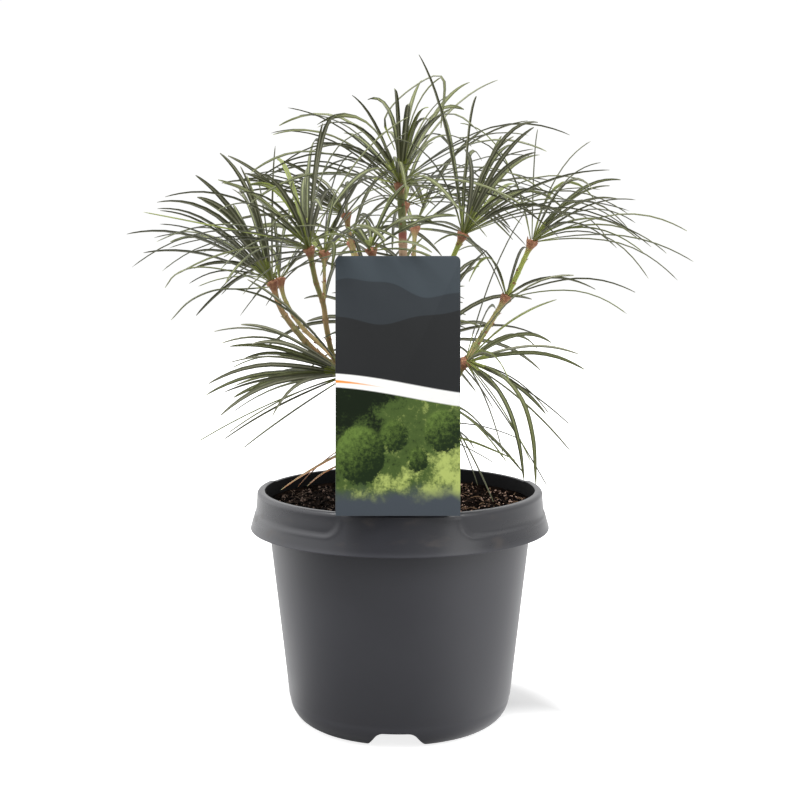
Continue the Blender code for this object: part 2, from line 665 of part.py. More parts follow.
def needle_line(ring, index, draw, wobble):
    """The middle line of one needle, its flat side's direction, and how far it is twisted."""
    share = (index + 0.5) / ring["count"]
    turn = index * GOLDEN_TURN + ring["seed"] + draw.uniform(-0.25, 0.25) + wobble * draw.uniform(-3, 3)
    low, high = ring["tilt"]
    tilt = low + (high - low) * share ** 0.8 + draw.uniform(-6, 6) + wobble * draw.uniform(-20, 20)
    tilt = math.radians(tilt)
    side, front = across(ring["axis"])
    radial = side * math.cos(turn) + front * math.sin(turn)
    heading = ring["axis"] * math.cos(tilt) + radial * math.sin(tilt) + ring["lean"] * (0.35 + 0.65 * share)
    heading = heading / np.linalg.norm(heading)
    length = ring["length"] * draw.uniform(0.80, 1.08) * (0.68 + 0.32 * min(1, share * 2.2))
    level = np.array([heading[0], heading[1], 0])
    level = level / max(np.linalg.norm(level), 1e-6)
    arch = draw.uniform(*NEEDLE_ARCH) * ring["droop"]
    sway = draw.uniform(-NEEDLE_SWAY, NEEDLE_SWAY)
    twist = draw.uniform(-1.0, 1.0)
    start = ring["at"] + ring["axis"] * (0.0012 - 0.0020 * share) + heading * NEEDLE_ROOT
    if ring["name"] == "foot":
        start = ring["at"] + radial * RING_MIDDLE
    beside = np.cross(heading, (0, 0, 1))
    points = [start]
    for i in range(NEEDLE_STEPS):
        bend = arch * ((i + 0.5) / NEEDLE_STEPS) ** 1.3
        step = heading + level * (0.55 * bend) + np.array([0, 0, -1.55 * bend])
        step = step + beside * sway * (i / NEEDLE_STEPS)
        step = step / np.linalg.norm(step)
        points.append(points[-1] + step * length / NEEDLE_STEPS)
    flat = ring["axis"] * math.sin(tilt) - radial * math.cos(tilt)
    return np.array(points), flat, twist


def needle_balls(points, spacing):
    """Balls along a blade that stand for it, each as x, y, z and half the blade's width there."""
    balls = []
    for (i, wide), (j, next_wide) in zip(NEEDLE_SHAPE, NEEDLE_SHAPE[1:]):
        count = math.ceil(np.linalg.norm(points[j] - points[i]) / spacing)
        for k in range(count):
            t = k / count
            place = points[i] + (points[j] - points[i]) * t
            balls.append([*place, NEEDLE_WIDTH / 2 * (wide + (next_wide - wide) * t)])
    balls.append([*points[-1], 0])
    return np.array(balls)


def clear_of_pot(places):
    """True where a needle stays off the soil, the rim and the card."""
    radius = np.hypot(places[:, 0], places[:, 1])
    height = places[:, 2]
    inside = radius < RIM_RADIUS + CLEAR_OF_RIM
    if (inside & (height < SOIL_TOP + SOIL_CROWN + CLEAR_OF_SOIL)).any():
        return False
    on_rim = inside & (radius > MOUTH_RADIUS - 0.0055)
    if (on_rim & (height < POT_HEIGHT + CLEAR_OF_RIM)).any() or (height < SOIL_TOP).any():
        return False
    behind = (places[:, 1] - CARD_FRONT) * math.cos(CARD_LEAN)
    behind -= (height - POT_HEIGHT) * math.sin(CARD_LEAN)
    beside = np.abs(places[:, 0] - CARD_MIDDLE) < CARD_WIDTH / 2 + CLEAR_OF_RIM
    by_card = beside & (height < POT_HEIGHT + CARD_HEIGHT + CLEAR_OF_RIM)
    return not (by_card & (behind < CLEAR_OF_CARD)).any()


def clear_of(balls, others, spacing, other_spacing):
    """True where no ball comes within the clearance of the others, allowing for the steps between balls."""
    margin = 0.006
    low, high = balls[:, :3].min(axis=0) - margin, balls[:, :3].max(axis=0) + margin
    others = others[((others[:, :3] > low) & (others[:, :3] < high)).all(axis=1)]
    if not len(others):
        return True
    apart = ((balls[:, None, :3] - others[None, :, :3]) ** 2).sum(axis=2)
    needed = (balls[:, None, 3] + others[None, :, 3] + GAP) ** 2
    return bool((apart > needed + (spacing ** 2 + other_spacing ** 2) / 4).all())


def fits(ring, points, wood, foreign):
    """True where a needle keeps to its whorl's own space."""
    balls = needle_balls(points, SAMPLE)
    if not clear_of_pot(balls[:, :3]) or not clear_of(balls, foreign, SAMPLE, SAMPLE):
        return False
    fine = needle_balls(points, FINE_SAMPLE)
    if ring["name"] != "foot":
        fine = fine[np.linalg.norm(fine[:, :3] - ring["at"], axis=1) > KNOB_RADIUS - 0.0004]
    return clear_of(fine, wood, FINE_SAMPLE, FINE_SAMPLE)


def grown_needles(limbs):
    """The needles of every whorl. One that would touch a neighbour is turned a little, or left out."""
    wood = np.concatenate([dense(line, radii, FINE_SAMPLE) for _, line, radii in limbs])
    knobs = {each["name"]: np.array([[*each["at"], KNOB_RADIUS]]) for each in WHORLS}
    placed = []
    made = []
    for ring in WHORLS:
        foreign = np.concatenate(placed + [knob for name, knob in knobs.items() if name != ring["name"]])
        grown, own = [], []
        for index in range(ring["count"]):
            draw = random.Random(100 * ring["seed"] + index)
            for attempt in range(TRIES):
                points, flat, twist = needle_line(ring, index, draw, attempt / TRIES)
                if fits(ring, points, wood, foreign):
                    grown.append((points, flat, twist))
                    own.append(needle_balls(points, SAMPLE))
                    break
        placed += own
        made.append((ring, grown))
    return made


def blade(points, flat, twist):
    """A needle as a closed blade: flat above, with a keel below, drawn out to a tip."""
    line = [points[i] for i, _ in NEEDLE_SHAPE]
    last = len(line) - 1
    verts, faces = [], [(0, 1, 2)]
    for j in range(last):
        tangent = line[j + 1] - line[max(j - 1, 0)]
        tangent = tangent / np.linalg.norm(tangent)
        up = flat - tangent * np.dot(flat, tangent)
        up = up / np.linalg.norm(up)
        over = np.cross(tangent, up)
        angle = twist * (0.3 + 0.7 * j / last)
        cos, sin = math.cos(angle), math.sin(angle)
        up, over = up * cos + over * sin, over * cos - up * sin
        wide = NEEDLE_SHAPE[j][1]
        keel = NEEDLE_KEEL * (0.6 + 0.4 * wide)
        side = over * NEEDLE_WIDTH / 2 * wide
        middle = line[j] + up * keel / 2
        verts += [middle + side, middle - side, middle - up * keel]
        a, b = 3 * j, 3 * j + 3
        if j + 1 < last:
            faces += [(a + n, a + k, b + k, b + n) for k, n in ((0, 1), (1, 2), (2, 0))]
        else:
            faces += [(a + n, a + k, b) for k, n in ((0, 1), (1, 2), (2, 0))]
    verts.append(line[last])
    return verts, faces


def knob(ring, home, finish):
    """The swollen joint that a whorl's needles stand in."""
    if ring["name"] == "foot":
        high = RING_HALF_HEIGHT
        profile = [(RING_OUTER, high), (RING_OUTER, -high), (RING_INNER, -high), (RING_INNER, high)]
        obj = turned("needles_foot", profile + profile[:1], home, finish, math.tau, 20)
        mesh = applied(obj).data
        weld(mesh)
    else:
        shape = bmesh.new()
        bmesh.ops.create_uvsphere(shape, u_segments=6, v_segments=4, radius=KNOB_RADIUS)
        mesh = bpy.data.meshes.new("needles_" + ring["name"])
        shape.to_mesh(mesh)
        shape.free()
        mesh.materials.append(finish)
        obj = bpy.data.objects.new("needles_" + ring["name"], mesh)
        home.objects.link(obj)
    mesh.transform(Matrix.Translation(ring["at"]))
    return obj


def foliage(ring, needles, home, finish):
    """A whorl: its needles fused to its knob as one closed body."""
    obj = knob(ring, home, finish)
    loose = bpy.data.collections.new("loose_needles")
    bpy.context.scene.collection.children.link(loose)
    for i, (points, flat, twist) in enumerate(needles):
        verts, faces = blade(points, flat, twist)
        each = mesh_object(f"needle_{i}", verts, faces, loose)
        weld(each.data)
    union = obj.modifiers.new("union", "BOOLEAN")
    union.operation = "UNION"
    union.operand_type = "COLLECTION"
    union.collection = loose
    union.solver = "MANIFOLD"
    bpy.context.view_layer.update()
    applied(obj)
    for each in list(loose.objects):
        bpy.data.objects.remove(each, do_unlink=True)
    bpy.data.collections.remove(loose)
    drop_scraps(obj.data)
    return obj


def drop_scraps(mesh):
    """Keeps only the biggest closed skin, so that sealed hollows are filled and loose scraps go."""
    shape = bmesh.new()
    shape.from_mesh(mesh)
    bmesh.ops.triangulate(shape, faces=shape.faces)
    left = set(shape.verts)
    skins = []
    while left:
        wave = [left.pop()]
        skin = set(wave)
        while wave:
            for edge in wave.pop().link_edges:
                for vert in edge.verts:
                    if vert in left:
                        left.remove(vert)
                        skin.add(vert)
                        wave.append(vert)
        skins.append(skin)
    biggest = max(skins, key=len)
    spare = [vert for skin in skins if skin is not biggest for vert in skin]
    bmesh.ops.delete(shape, geom=spare, context="VERTS")
    shape.to_mesh(mesh)
    shape.free()


def main():
    clear_scene()
    home = new_collection("potted_umbrella_pine")
    cutters = new_collection("cutters")
    leaf = material("needle_green", LEAF_GREEN, 0.45)
    shoot = material("shoot_green", SHOOT_GREEN, 0.55)
    bark = material("bark", BARK_BROWN, 0.75)
    pot(home, cutters, material("pot_plastic", POT_GREY, 0.45))
    soil(home, cutters, material("peat", PEAT_BROWN, 0.95))
    card(home, cutters, material("card_print", CARD_SLATE, 0.35))
    limbs = clear_limbs()
    for name, line, radii in limbs:
        limb(name, line, radii, home, bark if name in ("trunk", "bough_left", "bough_right") else shoot)
    for ring, needles in grown_needles(limbs):
        foliage(ring, needles, home, leaf)
    bpy.data.collections.remove(cutters)


main()
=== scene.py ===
# %% [markdown]
# # A potted umbrella pine
#
# This notebook dresses a young umbrella pine in its nursery pot. The real plant has whorls of flat,
# grooved needles that stand like the ribs of an umbrella round the end of each shoot. It grows in a
# round dark grey pot filled with peat, with a picture card hooked over the front of the rim.
#
# The solids of the plant come first, as a frame. Each one then gets a finer piece in the same place.
# Everything is in metres, +Z is up, and the front of the pot looks along -Y.

import math
import random

import bpy
import numpy as np
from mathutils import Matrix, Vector, noise


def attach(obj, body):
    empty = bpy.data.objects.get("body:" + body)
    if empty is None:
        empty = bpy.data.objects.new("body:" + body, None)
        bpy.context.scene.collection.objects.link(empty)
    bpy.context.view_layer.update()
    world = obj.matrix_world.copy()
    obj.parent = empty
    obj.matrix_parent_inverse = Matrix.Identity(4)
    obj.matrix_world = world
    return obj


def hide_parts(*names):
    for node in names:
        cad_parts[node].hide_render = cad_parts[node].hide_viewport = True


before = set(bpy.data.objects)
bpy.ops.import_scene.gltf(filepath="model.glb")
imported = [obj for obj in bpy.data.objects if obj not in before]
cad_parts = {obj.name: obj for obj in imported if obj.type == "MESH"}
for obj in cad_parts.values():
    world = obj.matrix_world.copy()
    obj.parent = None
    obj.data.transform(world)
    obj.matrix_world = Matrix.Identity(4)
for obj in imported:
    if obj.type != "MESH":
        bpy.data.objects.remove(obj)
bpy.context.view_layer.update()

# %% [markdown]
# ## Working by hand, in code
#
# Blender's modelling tools act on whatever is selected, so each piece starts by clearing the
# selection. Two small helpers do that and move in and out of edit mode. A finished piece keeps its
# place in its mesh, so its object stays at the origin, unturned and unscaled.


# %% Selection and edit mode
def select_none():
    if bpy.context.mode != "OBJECT":
        bpy.ops.object.mode_set(mode="OBJECT")
    bpy.ops.object.select_all(action="DESELECT")


def select_only(obj):
    select_none()
    obj.select_set(True)
    bpy.context.view_layer.objects.active = obj


def edit(obj, kind="VERT"):
    select_only(obj)
    bpy.ops.object.mode_set(mode="EDIT")
    bpy.ops.mesh.select_mode(type=kind)


def place_in_mesh(obj):
    select_only(obj)
    bpy.ops.object.transform_apply(location=True, rotation=True, scale=True)


def apply_modifiers(obj):
    select_only(obj)
    for modifier in list(obj.modifiers):
        bpy.ops.object.modifier_apply(modifier=modifier.name)


def face_outwards(obj, merge=0.000002):
    """Merges doubles first, because a seam would stop the normals agreeing across it."""
    edit(obj)
    bpy.ops.mesh.select_all(action="SELECT")
    bpy.ops.mesh.remove_doubles(threshold=merge)
    bpy.ops.mesh.normals_make_consistent(inside=False)
    bpy.ops.object.mode_set(mode="OBJECT")


def smooth_shaded(obj, degrees=35):
    select_only(obj)
    bpy.ops.object.shade_smooth_by_angle(angle=math.radians(degrees))


def points_of(obj):
    flat = np.empty(3 * len(obj.data.vertices), np.float32)
    obj.data.vertices.foreach_get("co", flat)
    return flat.reshape(-1, 3).astype(float)


def set_points(obj, points):
    obj.data.vertices.foreach_set("co", np.asarray(points, np.float32).ravel())
    obj.data.update()


def mesh_from(name, points, faces, finishes, finish_of_face=None):
    """A piece made from arrays, for things too many to model one by one."""
    mesh = bpy.data.meshes.new(name)
    mesh.from_pydata(np.asarray(points, float).tolist(), [], faces)
    for finish in finishes:
        mesh.materials.append(finish)
    if finish_of_face is not None:
        mesh.polygons.foreach_set("material_index", np.asarray(finish_of_face, np.int32))
    obj = bpy.data.objects.new(name, mesh)
    bpy.context.scene.collection.objects.link(obj)
    return obj


def hand_over(obj, slot, *nodes):
    """Says which solids a piece stands for and that it never moves by itself. Which finish it takes, its
    slot, is not used.
    """
    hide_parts(*nodes)
    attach(obj, "root")
    obj.data.calc_loop_triangles()
    print(obj.name, "has", len(obj.data.loop_triangles), "triangles and stands for", len(nodes), "solids")


# %% [markdown]
# ## Finishes written as sums
#
# A material's pattern is arithmetic on positions and noise. One small class wraps a socket so that
# sums and products can be written as in a formula, and each operator adds its Math node. Colours are
# mixed with their own node, because a Math node would turn them grey.


# %% A value, a finish and its nodes
class Value:
    def __init__(self, finish, socket):
        self.finish, self.socket = finish, socket

    def __add__(self, other):
        return self.finish.math("ADD", self, other)

    def __sub__(self, other):
        return self.finish.math("SUBTRACT", self, other)

    def __mul__(self, other):
        return self.finish.math("MULTIPLY", self, other)

    def __truediv__(self, other):
        return self.finish.math("DIVIDE", self, other)

    def __radd__(self, other):
        return self.finish.math("ADD", other, self)

    def __rsub__(self, other):
        return self.finish.math("SUBTRACT", other, self)


class Pattern:
    """A tree of nodes, and ways to add to it."""

    def __init__(self, tree):
        self.tree = tree

    def feed(self, socket, value):
        if isinstance(value, Value):
            self.tree.links.new(value.socket, socket)
        else:
            socket.default_value = value

    def node(self, kind, settings=None, inputs=None, output=0):
        """Any node: its settings go in first, then the values or links of its sockets."""
        made = self.tree.nodes.new(kind)
        for name, value in (settings or {}).items():
            setattr(made, name, value)
        for name, value in (inputs or {}).items():
            self.feed(made.inputs[name], value)
        return Value(self, made.outputs[output])

    def math(self, operation, *values):
        return self.node("ShaderNodeMath", {"operation": operation}, dict(enumerate(values)))

    def place(self):
        return self.node("ShaderNodeTexCoord", output="Object")

    def axis(self, letter):
        return self.node("ShaderNodeSeparateXYZ", inputs={0: self.place()}, output="XYZ".index(letter))

    def noise(self, size, detail=3, stretch=(1, 1, 1), roughness=0.5):
        """Soft noise whose blotches are about size metres across."""
        at = self.node("ShaderNodeMapping", inputs={"Vector": self.place(), "Scale": stretch})
        inputs = {"Vector": at, "Scale": 1 / size, "Detail": detail, "Roughness": roughness}
        return self.node("ShaderNodeTexNoise", inputs=inputs)

    def ramp(self, value, start, end):
        """0 below start, 1 above end, and smooth between them."""
        settings = {"interpolation_type": "SMOOTHSTEP"}
        inputs = {"Value": value, "From Min": start, "From Max": end}
        return self.node("ShaderNodeMapRange", settings, inputs)

    def mix(self, share, one, other):
        """One colour where share is 0, the other where it is 1."""
        one, other = [(*each, 1) if isinstance(each, tuple) else each for each in (one, other)]
        return self.node("ShaderNodeMix", {"data_type": "RGBA"}, {0: share, 6: one, 7: other}, output=2)


class Finish(Pattern):
    """One material and its Principled shader. What is even all over is set on the shader's own sockets."""

    def __init__(self, name, colour, roughness, **even):
        self.material = bpy.data.materials.new(name)
        self.material.use_nodes = True
        super().__init__(self.material.node_tree)
        self.shader = self.tree.nodes["Principled BSDF"]
        self.give("Base Color", (*colour, 1))
        self.give("Roughness", roughness)
        for socket, value in even.items():
            self.give(socket.replace("_", " "), value)

    def give(self, socket, value):
        self.feed(self.shader.inputs[socket], value)

    def bump(self, height, depth, strength=1.0):
        inputs = {"Height": height, "Distance": depth, "Strength": strength}
        self.give("Normal", self.node("ShaderNodeBump", inputs=inputs))


# %% [markdown]
# ## Camera
#
# A catalogue photograph of a pot is taken from about a metre away, a little above the rim, so that the
# soil just shows. The lens is long, which keeps the pot's sides nearly straight.

# %% Place the camera
CAMERA_PLACE = (0, -0.9913, 0.32994)
CAMERA_DOWN = 0.12399
CAMERA_LENS, SENSOR_WIDTH = 71.23, 36
CAMERA_SHIFT = -0.00104

lens = bpy.data.cameras.new("camera")
lens.lens = CAMERA_LENS
lens.sensor_width = SENSOR_WIDTH
lens.sensor_fit = "HORIZONTAL"
lens.shift_x = CAMERA_SHIFT
camera = bpy.data.objects.new("camera", lens)
bpy.context.scene.collection.objects.link(camera)
camera.location = CAMERA_PLACE
camera.rotation_euler = (math.pi / 2 - CAMERA_DOWN, 0, 0)
bpy.context.scene.camera = camera
print("camera", [round(v, 3) for v in camera.location])

# %% [markdown]
# ## Floor and light
#
# A white table under a bright sky gives the clean white ground of a catalogue page. Plastic mirrors
# what stands round it, so the studio is darker in front, a little left of the camera, and bright at the
# sides. That makes the pot dark in the middle and pale at its edges. The lens sees the table as plain
# white, as after retouching, but the pot mirrors the dimmer one. A soft panel high on the left gives the
# faint shadow at the right of the foot. Weaker ones light the front and the right side.

# %% The table
FLOOR_SIZE = 6.0
DARK_TURN = math.radians(24)
TABLE_SEEN, TABLE_MIRRORED = 0.64, 0.14
TABLE_GLOW, FRONT_GLOW = 0.02, 0.80
MIRRORED_DIM, MIRRORED_BRIGHT = 0.13, 0.90
MIRRORED_FADE = (-0.95, -0.05)
FRONT_FADE = (-0.030, 0.030)
SHADOW_FADE = (0.092, 0.134)


def out_of_the_dark(pattern, x, y, start, end):
    """0 where the studio is dark, in front and a little to the left, and 1 away from there."""
    return pattern.ramp(x * math.sin(DARK_TURN) + y * math.cos(DARK_TURN), start, end)


def grey(level):
    return (level, level, level)


select_none()
bpy.ops.mesh.primitive_plane_add(size=FLOOR_SIZE)
floor = bpy.context.object
floor.name = "floor"
white_table = Finish("white_table", grey(TABLE_SEEN), 0.9, Emission_Strength=1.0)
x, y = white_table.axis("X"), white_table.axis("Y")
away = white_table.math("SQRT", x * x + y * y)
bright = out_of_the_dark(white_table, x / away, y / away, *MIRRORED_FADE)
mirrored = white_table.mix(bright, grey(MIRRORED_DIM), grey(MIRRORED_BRIGHT))
in_front, far_off = white_table.ramp(0 - y, *FRONT_FADE), white_table.ramp(away, *SHADOW_FADE)
no_shadow = white_table.math("MAXIMUM", in_front, far_off)
seen_glow = white_table.mix(no_shadow, grey(TABLE_GLOW), grey(TABLE_GLOW + FRONT_GLOW))
by_lens = white_table.node("ShaderNodeLightPath", output="Is Camera Ray")
white_table.give("Base Color", white_table.mix(by_lens, grey(TABLE_MIRRORED), grey(TABLE_SEEN)))
white_table.give("Emission Color", white_table.mix(by_lens, mirrored, seen_glow))
floor.data.materials.append(white_table.material)
print("table", FLOOR_SIZE, "m across")

# %% The sky
SKY_DIM, SKY_MIDDLE, SKY_BRIGHT = 0.01, 0.45, 0.95
SKY_LEFT, SKY_TOP, SKY_SEEN = 1.10, 0.66, 1.02
DARK_CORE, DARK_EDGE = (-0.97, -0.72), (-0.5, 0.3)
LEFT_FADE, TOP_FADE = (0.3, 1.0), (0.1, 0.8)

world = bpy.data.worlds.new("studio_sky")
world.use_nodes = True
sky = Pattern(world.node_tree)
toward = sky.node("ShaderNodeTexCoord", output="Generated")
side, back, rise = [sky.node("ShaderNodeSeparateXYZ", inputs={0: toward}, output=i) for i in range(3)]
glow = SKY_DIM + out_of_the_dark(sky, side, back, *DARK_CORE) * (SKY_MIDDLE - SKY_DIM)
glow = glow + out_of_the_dark(sky, side, back, *DARK_EDGE) * (SKY_BRIGHT - SKY_MIDDLE)
glow = glow + sky.ramp(0 - side, *LEFT_FADE) * SKY_LEFT + sky.ramp(rise, *TOP_FADE) * SKY_TOP
seen = sky.node("ShaderNodeLightPath", output="Is Camera Ray")
background = world.node_tree.nodes["Background"]
sky.feed(background.inputs["Strength"], glow * (1 - seen) + seen * SKY_SEEN)
background.inputs["Color"].default_value = (1, 1, 1, 1)
bpy.context.scene.world = world
bpy.context.scene.view_settings.view_transform = "Standard"
print("sky", len(world.node_tree.nodes), "nodes")


# %% Three soft panels
def soft_panel(name, place, aim, size, power):
    panel = bpy.data.lights.new(name, "AREA")
    panel.shape = "SQUARE"
    panel.size = size
    panel.energy = power
    lamp = bpy.data.objects.new(name, panel)
    bpy.context.scene.collection.objects.link(lamp)
    lamp.location = place
    lamp.rotation_euler = (Vector(aim) - Vector(place)).to_track_quat("-Z", "Y").to_euler()


soft_panel("panel_left", (-0.50, -0.30, 1.40), (0, 0, 0.2), size=0.45, power=21)
soft_panel("panel_front", (0.85, -1.10, 1.40), (0, 0, 0.2), size=0.8, power=10)
soft_panel("panel_right", (1.1, -1.0, 0.6), (0, 0, 0.15), size=0.7, power=3)
print("panels", len(bpy.data.lights))

# %% [markdown]
# ## The pot
#
# The real pot is injection-moulded: a thin cone with a rounded foot, and a collar folded down
# outside like a cuff, hollow underneath. Its section is the same all round, so the section is drawn as
# a chain of edges with rounded corners, and Blender's Spin carries it round the axis.

# %% Sizes of the pot
POT_HEIGHT = 0.150
RIM_RADIUS = 0.095
BAND_RADIUS = 0.0912
LIP_ROUND = 0.0027
MOUTH_RADIUS = 0.0856
SKIRT_HEIGHT = 0.1256
BAND_FOOT = 0.1375
FLARE_HEIGHT = 0.1345
BODY_TOP_RADIUS = 0.0831
BODY_FOOT_RADIUS = 0.0693
WALL = 0.0015
FOOT_ROUND = 0.0168
FOOT_LINE = 0.0176
PAD_RADIUS = 0.028
PAD_SLOPE = 0.005
PAD_WALL = 0.0013
CHANNEL_HEIGHT = 0.012
FLOOR_THICKNESS = 0.002
STEP_LOW, STEP_HIGH = 0.1362, 0.1404
FOOT_RING = 0.003
FOOT_WALL = 0.0018
TURN_STEPS = 360
HAIR = 0.0001


def body_radius(height):
    return BODY_FOOT_RADIUS + (BODY_TOP_RADIUS - BODY_FOOT_RADIUS) * height / SKIRT_HEIGHT


def rounded(corners, pieces=4):
    """A chain of (across, up, rounding) corners as (across, up) points, each corner an arc."""
    points = []
    for i, (across, up, rounding) in enumerate(corners):
        corner = Vector((across, up))
        if not rounding:
            points.append(corner)
            continue
        before = Vector(corners[i - 1][:2]) - corner
        after = Vector(corners[(i + 1) % len(corners)][:2]) - corner
        half = before.angle(after) / 2
        cut = min(rounding / math.tan(half), 0.48 * before.length, 0.48 * after.length)
        one, two = corner + before.normalized() * cut, corner + after.normalized() * cut
        for k in range(pieces + 1):
            t = k / pieces
            points.append(one * (1 - t) ** 2 + corner * 2 * t * (1 - t) + two * t ** 2)
    return points


def arc(across, up, radius, turns):
    """Points of a round corner, each at its turn from straight out."""
    return [(across + radius * math.cos(turn), up + radius * math.sin(turn), 0) for turn in turns]


def spun(name, section, steps):
    """A piece of revolution: a chain of edges in the XZ plane, carried round Z by Spin."""
    select_none()
    bpy.ops.mesh.primitive_plane_add(size=0.001, location=(0, 0, 0))
    obj = bpy.context.object
    obj.name = name
    edit(obj)
    bpy.ops.mesh.select_all(action="SELECT")
    bpy.ops.mesh.merge(type="CENTER")
    bpy.ops.transform.translate(value=(section[0][0], 0, section[0][1]))
    for one, two in zip(section, section[1:]):
        step = (two[0] - one[0], 0, two[1] - one[1])
        bpy.ops.mesh.extrude_region_move(TRANSFORM_OT_translate={"value": step})
    bpy.ops.mesh.select_all(action="SELECT")
    bpy.ops.mesh.spin(steps=steps, angle=math.tau, center=(0, 0, 0), axis=(0, 0, 1))
    bpy.ops.object.mode_set(mode="OBJECT")
    place_in_mesh(obj)
    face_outwards(obj)
    return obj


print("pot", 1000 * POT_HEIGHT, "mm high and", 2000 * RIM_RADIUS, "mm across")

# %% Spin the pot's section
CONE_TOP = 0.1485
CONE_TOP_RADIUS = 0.0903
CONE_FLARE = 1.4


def cone_radius(height):
    """The cuff's outside where nothing is pressed into it: narrow at the lip and flared at its foot."""
    down = np.clip((CONE_TOP - height) / (CONE_TOP - SKIRT_HEIGHT), 0, 1)
    return CONE_TOP_RADIUS + (RIM_RADIUS - CONE_TOP_RADIUS) * down ** CONE_FLARE


def pot_section():
    """The chain round the pot's wall: up the inside, over the lip, down the cuff and back under it,
    then down the outside, round the foot, and along the raised channel to the middle."""
    fine, fold, crisp = 0.0006, 0.0010, 0.0003
    floor_top = CHANNEL_HEIGHT + FLOOR_THICKNESS
    under_lip = POT_HEIGHT - WALL - 0.0002
    inside = [
        (0, FLOOR_THICKNESS, 0),
        (PAD_RADIUS - PAD_WALL, FLOOR_THICKNESS, fold),
        (PAD_RADIUS + PAD_SLOPE - PAD_WALL, floor_top, fold),
        (body_radius(floor_top) - WALL - 0.003, floor_top, 0.002),
        (body_radius(FOOT_LINE) - WALL, FOOT_LINE + 0.001, 0.002),
        (body_radius(STEP_LOW) - WALL, STEP_LOW, fine),
        (MOUTH_RADIUS, STEP_HIGH, fine),
        (MOUTH_RADIUS, POT_HEIGHT, 0.0008),
    ]
    lip_turns = np.linspace(0, math.pi / 2, 9)
    middle, up = BAND_RADIUS - LIP_ROUND, POT_HEIGHT - LIP_ROUND
    cuff = [(middle + LIP_ROUND * math.sin(t), up + LIP_ROUND * math.cos(t), 0) for t in lip_turns]
    cuff_heights = np.linspace(POT_HEIGHT - LIP_ROUND - 0.0007, SKIRT_HEIGHT + 0.0012, 30)
    cuff += [(float(cone_radius(height)), height, 0) for height in cuff_heights]
    cuff += [
        (RIM_RADIUS, SKIRT_HEIGHT, 0.0009),
        (RIM_RADIUS - WALL, SKIRT_HEIGHT, crisp),
        (RIM_RADIUS - WALL - fold, FLARE_HEIGHT - fold, fine),
        (BAND_RADIUS - WALL, BAND_FOOT - 0.0012, fine),
        (BAND_RADIUS - WALL, under_lip, fold),
        (MOUTH_RADIUS + WALL, under_lip, fold),
        (MOUTH_RADIUS + WALL, STEP_HIGH - 0.0002, fine),
        (body_radius(STEP_LOW), STEP_LOW - fine, fine),
    ]
    foot_centre = body_radius(FOOT_LINE) - FOOT_ROUND - fine
    outside = [
        (body_radius(0.08), 0.08, 0),
        (body_radius(FOOT_LINE + 0.0004), FOOT_LINE + 0.0004, 0),
        (body_radius(FOOT_LINE) - fine, FOOT_ROUND, 0),
    ]
    outside += arc(foot_centre, FOOT_ROUND, FOOT_ROUND, [-math.pi / 2 * i / 10 for i in range(1, 11)])
    inner_round = FOOT_ROUND - FOOT_WALL
    last_turn = math.asin((CHANNEL_HEIGHT - FOOT_ROUND) / inner_round)
    outside += [(foot_centre - FOOT_RING, 0, crisp), (foot_centre - FOOT_RING, FOOT_WALL, crisp)]
    inner_turns = [-math.pi / 2 + (last_turn + math.pi / 2) * i / 6 for i in range(7)]
    outside += arc(foot_centre, FOOT_ROUND, inner_round, inner_turns)
    outside += [(PAD_RADIUS + PAD_SLOPE, CHANNEL_HEIGHT, fold), (PAD_RADIUS, 0, crisp), (0, 0, 0)]
    return rounded(inside + cuff + outside)


pot = spun("nursery_pot", pot_section(), TURN_STEPS)
print("pot", len(pot.data.polygons), "faces")

# %% [markdown]
# The cuff has a seat for the picture card at the front. There the cuff is one smooth cone from the lip
# to its lower edge. Beside the seat the cone drops into a shallow band that runs round the pot, and the
# band ends in a rounded corner with a fine ridge. It is pressed into the spun wall by moving its points,
# as a mould would, because a Boolean would leave hard edges there.

# %% Press the band, its rounded ends and the seat
SEAT_HALF_ANGLE = math.radians(23.5)
BAND_LOW = 0.1362
CORNER_ROUND = 0.0095
EDGE_SOFT = 0.0017
EDGE_SPREAD = 0.0030
RIDGE_HEIGHT = 0.00025
BACK_HALF_ANGLE = math.radians(71)
BACK_SOFT = 0.02
CUFF_FOOT = SKIRT_HEIGHT + 0.0011
LIP_FOOT = POT_HEIGHT - LIP_ROUND
LIP_INNER = MOUTH_RADIUS + 0.0020
LIP_STEP, LIP_SINK = 0.0011, 0.0006
NEAR_CONE = 0.0004
BAND_TAPER = 0.0006
RIDGE_OUT, RIDGE_SOFT = 0.0013, 0.0010


def smooth_step(value, low, high):
    t = np.clip((value - low) / (high - low), 0, 1)
    return t * t * (3 - 2 * t)


def into_band(angle, height):
    """Distance into the band from its rounded outline, negative outside it."""
    beside = (np.abs(angle) - SEAT_HALF_ANGLE) * BAND_RADIUS
    above = height - BAND_LOW
    corner = CORNER_ROUND - np.hypot(CORNER_ROUND - beside, CORNER_ROUND - above)
    in_corner = (beside < CORNER_ROUND) & (above < CORNER_ROUND)
    return np.where(in_corner, corner, np.minimum(beside, above))


